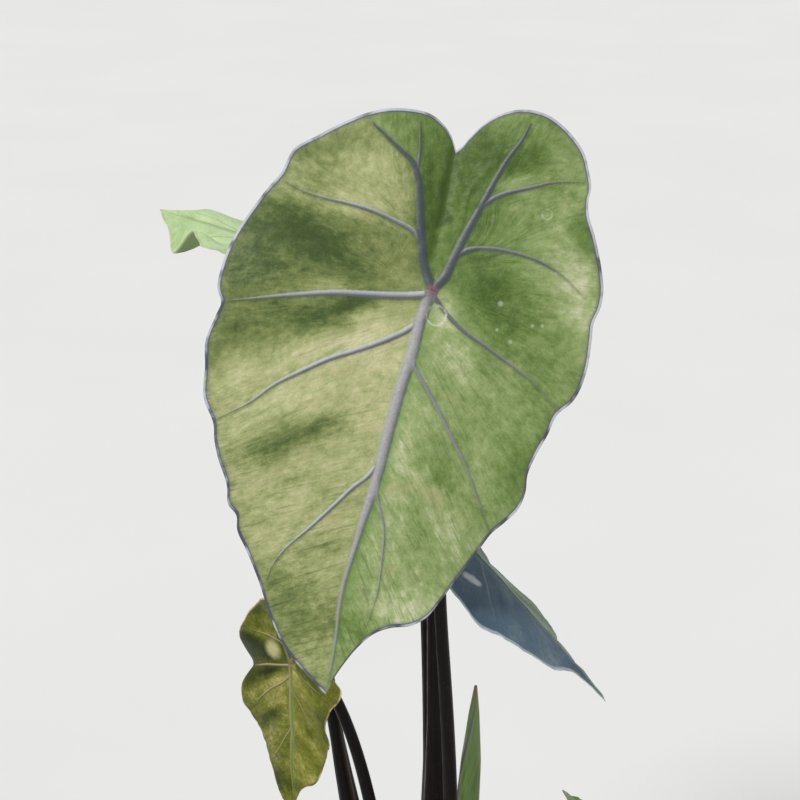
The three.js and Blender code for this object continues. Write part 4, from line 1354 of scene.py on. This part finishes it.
def corm_material():
    """Brown fibres on the corm itself and papery threads on the scraps."""
    s = Shader("corm", 0.85)
    dry, high, around = s.field("crown")
    place = s.place()
    x, y, z = s.split(place)
    fibre = s.noise(s.join(s.times(x, 500), s.times(y, 500), s.times(z, 90)), detail=4)
    bark = s.ramp(s.weighted((fibre, 0.7), (s.noise(place, 60, 4), 0.3)),
                  [(34, 22, 16), (62, 42, 30), (92, 66, 46), (132, 104, 76)])
    threads = s.drawn(around, 1.6, high, 0.8, 3.0, 4)
    paper = s.ramp(s.weighted((threads, 0.7), (high, 0.3)),
                   [(30, 20, 18), (62, 44, 36), (104, 80, 62), (150, 122, 94)])
    return s.finish(s.mix(dry, bark, paper), s.mix(dry, fibre, threads), 0.6)


def corm():
    vertices, faces = turned(smooth_path(CORM_PROFILE, CORM_STEP), CORM_SIDES, scarred, CORM_CENTRE)
    bodies = Bodies().add(vertices, faces)
    rng = np.random.default_rng(34)
    places = []
    for index in range(CROWN_SCRAPS):
        turn = (index + rng.uniform(-0.3, 0.3)) / CROWN_SCRAPS * 2 * math.pi
        places.append((CORM_CENTRE, rng.uniform(30, 35), turn, rng.uniform(0.3, 0.55),
                       rng.uniform(7, 14), rng.uniform(1, 4)))
    for leaf in LEAVES:
        out = np.array(leaf["foot"], float) - CORM_CENTRE
        if np.linalg.norm(out) > CORM_RADIUS:
            continue
        turn = math.atan2(out[1], out[0])
        for layer in SCRAP_LAYERS:
            places.append((leaf["foot"], leaf["radius"][0] + layer, turn + rng.uniform(-0.7, 0.7),
                           rng.uniform(0.7, 1.2), rng.uniform(10, 24), rng.uniform(0.6, 2.2)))
    for place in places:
        vertices, faces, field = scrap(rng, *place)
        bodies.add(vertices, faces, crown=field)
    make_piece("brown_corm", "corm", "corm", bodies, [corm_material()])


corm()


# The soil: a crumbly top round the corm, with crumbs, bark chips and white granules on it
def soil_height(x, y):
    return SOIL_TOP + relief(np.column_stack([x, y]), SOIL_RELIEF, 0)


def icosahedron():
    """The 12 corners of a body of 20 equal faces, each 1 from its middle, and the faces."""
    golden = (1 + math.sqrt(5)) / 2
    corners = []
    for a in (-1, 1):
        for b in (-golden, golden):
            corners += [(0, a, b), (a, b, 0), (b, 0, a)]
    corners = np.array(corners) / math.hypot(1, golden)
    near = np.linalg.norm(corners[:, None] - corners, axis=2) < ICOSAHEDRON_EDGE
    faces = []
    for a, b, c in itertools.combinations(range(len(corners)), 3):
        if near[a, b] and near[b, c] and near[a, c]:
            outwards = np.cross(corners[b] - corners[a], corners[c] - corners[a]) @ corners[a] > 0
            faces.append((a, b, c) if outwards else (a, c, b))
    return corners, faces


ROCK_CORNERS, ROCK_FACES = icosahedron()


def rock(rng, centre, size):
    """The corners of a small angular lump, squashed and turned, each corner shifted."""
    corners = ROCK_CORNERS * rng.uniform(0.75, 1.1, (len(ROCK_CORNERS), 1)) * size
    turn = rng.uniform(0, 2 * math.pi)
    lean = rng.uniform(-0.5, 0.5)
    spin = np.array([[math.cos(turn), -math.sin(turn), 0], [math.sin(turn), math.cos(turn), 0], [0, 0, 1]])
    tilt = np.array([[1, 0, 0], [0, math.cos(lean), -math.sin(lean)], [0, math.sin(lean), math.cos(lean)]])
    return corners @ tilt.T @ spin.T + centre


def soil_material():
    """Dark damp earth, with brown bark chips and white granules by the kind of grain."""
    s = Shader("potting_soil", 0.95)
    kind, tone, _ = s.field("grain")
    place = s.place()
    crumbs = s.noise(place, 420, 5, 0.7)
    earth = s.ramp(s.weighted((crumbs, 0.65), (tone, 0.35)),
                   [(18, 13, 10), (36, 26, 20), (58, 43, 33), (86, 66, 50)])
    earth = s.mix(s.step(s.noise(place, 30, 3), 0.5, 0.65, 0, 0.4), earth, (22, 16, 13))
    bark = s.mix(s.weighted((tone, 0.7), (crumbs, 0.3)), (70, 44, 28), (124, 86, 56))
    white = s.mix(s.times(crumbs, 0.6), (226, 222, 212), (168, 160, 146))
    colour = s.mix(s.step(kind, 0.4, 0.6), earth, bark)
    colour = s.mix(s.step(kind, 1.4, 1.6), colour, white)
    return s.finish(colour, crumbs, 0.8)


def soil():
    turns = even_turns(SOIL_SIDES)
    ways = np.stack([np.cos(turns), np.sin(turns)], 1)
    centre = np.array(CORM_CENTRE, float)
    inward = ways @ centre

    def wall_distance(z):
        radius = inner_wall(z) - SOIL_CLEARANCE
        return -inward + np.sqrt(inward**2 + radius**2 - centre @ centre)

    def ring(distance, z):
        return np.column_stack([centre + ways * distance[:, None], np.full(SOIL_SIDES, z)])

    def level(share):
        hole = pair_value([(z, radius) for radius, z in CORM_PROFILE[4:6]], SOIL_TOP) + GAP
        flat = centre + ways * (hole + (wall_distance(SOIL_TOP) - hole) * share)[:, None]
        lip = smooth_step(share, 0, 0.05) * SOIL_LIP - SOIL_LIP
        return np.column_stack([flat, soil_height(flat[:, 0], flat[:, 1]) + lip])

    rings = [ring(wall_distance(POT_FLOOR + 1) * share, POT_FLOOR + GAP) for share in (0.5, 1)]
    rings += [ring(wall_distance(z), z) for z in np.linspace(POT_FLOOR + 8, SOIL_TOP - 6, SOIL_WALL_RINGS)]
    rings += [level(share) for share in np.linspace(1, 0, SOIL_TOP_RINGS)]
    rings += [ring(np.full(SOIL_SIDES, radius + GAP), z) for radius, z in CORM_PROFILE[4:0:-1]]
    vertices, faces = closed_skin(rings)
    grain = np.zeros((len(vertices), 3))
    grain[:, 1] = 0.5 + 0.5 * value_noise(vertices[:, 0] / 2, vertices[:, 1] / 2, 44)
    bodies = Bodies().add(vertices, faces, grain=grain)
    rng = np.random.default_rng(45)
    for kind, (count, low, high, squash) in enumerate(GRAINS):
        for _ in range(count):
            turn = rng.uniform(0, 2 * math.pi)
            distance = math.sqrt(rng.uniform(0.02, 1)) * (inner_wall(SOIL_TOP) - GRAIN_INSET)
            x, y = math.cos(turn) * distance, math.sin(turn) * distance
            size = rng.uniform(low, high)
            if math.hypot(x - centre[0], y - centre[1]) < CORM_PROFILE[5][0] + size / 2:
                continue
            z = soil_height(np.array([x]), np.array([y]))[0] + size * squash * 0.25
            shape = np.array((1, rng.uniform(0.5, 1), squash)) * size
            bodies.add(rock(rng, (x, y, z), shape), ROCK_FACES,
                       grain=np.tile((kind, rng.uniform(0, 1), 0), (len(ROCK_CORNERS), 1)))
    make_piece("potting_soil", "soil", "soil", bodies, [soil_material()])


soil()


# The floor, the lights and the camera
def floor():
    bpy.ops.mesh.primitive_circle_add(vertices=128, radius=FLOOR_RADIUS, fill_type="NGON")
    plane = bpy.context.object
    plane.name = "floor"
    s = Shader("floor", 0.9)
    plane.data.materials.append(s.finish(s.mix(s.noise(s.place(), 3, 4), FLOOR_DARK, FLOOR_LIGHT)))


def lamp(name, kind, place, target, **settings):
    """A light at a place, turned to a target."""
    light = bpy.data.lights.new(name, kind)
    for setting, value in settings.items():
        setattr(light, setting, value)
    holder = bpy.data.objects.new(name, light)
    bpy.context.scene.collection.objects.link(holder)
    holder.location = place
    holder.rotation_euler = (Vector(target) - Vector(place)).to_track_quat("-Z", "Y").to_euler()


def studio():
    world = bpy.data.worlds.new("studio")
    world.use_nodes = True
    background = world.node_tree.nodes["Background"]
    background.inputs["Color"].default_value = SKY_COLOUR
    background.inputs["Strength"].default_value = SKY_STRENGTH
    bpy.context.scene.world = world
    bpy.context.scene.view_settings.view_transform = "Standard"
    lamp("key", **KEY_LIGHT)
    lamp("fill", **FILL_LIGHT)


def camera():
    """The photograph's view: so placed that the front leaf's attachment is at its own pixel."""
    view = np.array([0, math.cos(CAMERA_TILT), -math.sin(CAMERA_TILT)])
    up = np.array([0, math.sin(CAMERA_TILT), math.cos(CAMERA_TILT)])
    right = np.array([1, 0, 0])
    middle = IMAGE_SIZE / 2
    aim = (np.array(FRONT_ATTACHMENT, float)
           - right * (ATTACHMENT_PIXEL[0] - middle) * MM_PER_PIXEL
           - up * (middle - ATTACHMENT_PIXEL[1]) * MM_PER_PIXEL)
    data = bpy.data.cameras.new("camera")
    data.sensor_width = SENSOR_WIDTH
    data.lens = SENSOR_WIDTH * CAMERA_DISTANCE / (IMAGE_SIZE * MM_PER_PIXEL)
    data.clip_end = 100
    holder = bpy.data.objects.new("camera", data)
    bpy.context.scene.collection.objects.link(holder)
    holder.location = (aim - view * CAMERA_DISTANCE) * MM
    holder.rotation_euler = (math.pi / 2 - CAMERA_TILT, 0, 0)
    bpy.context.scene.camera = holder


floor()
camera()
studio()
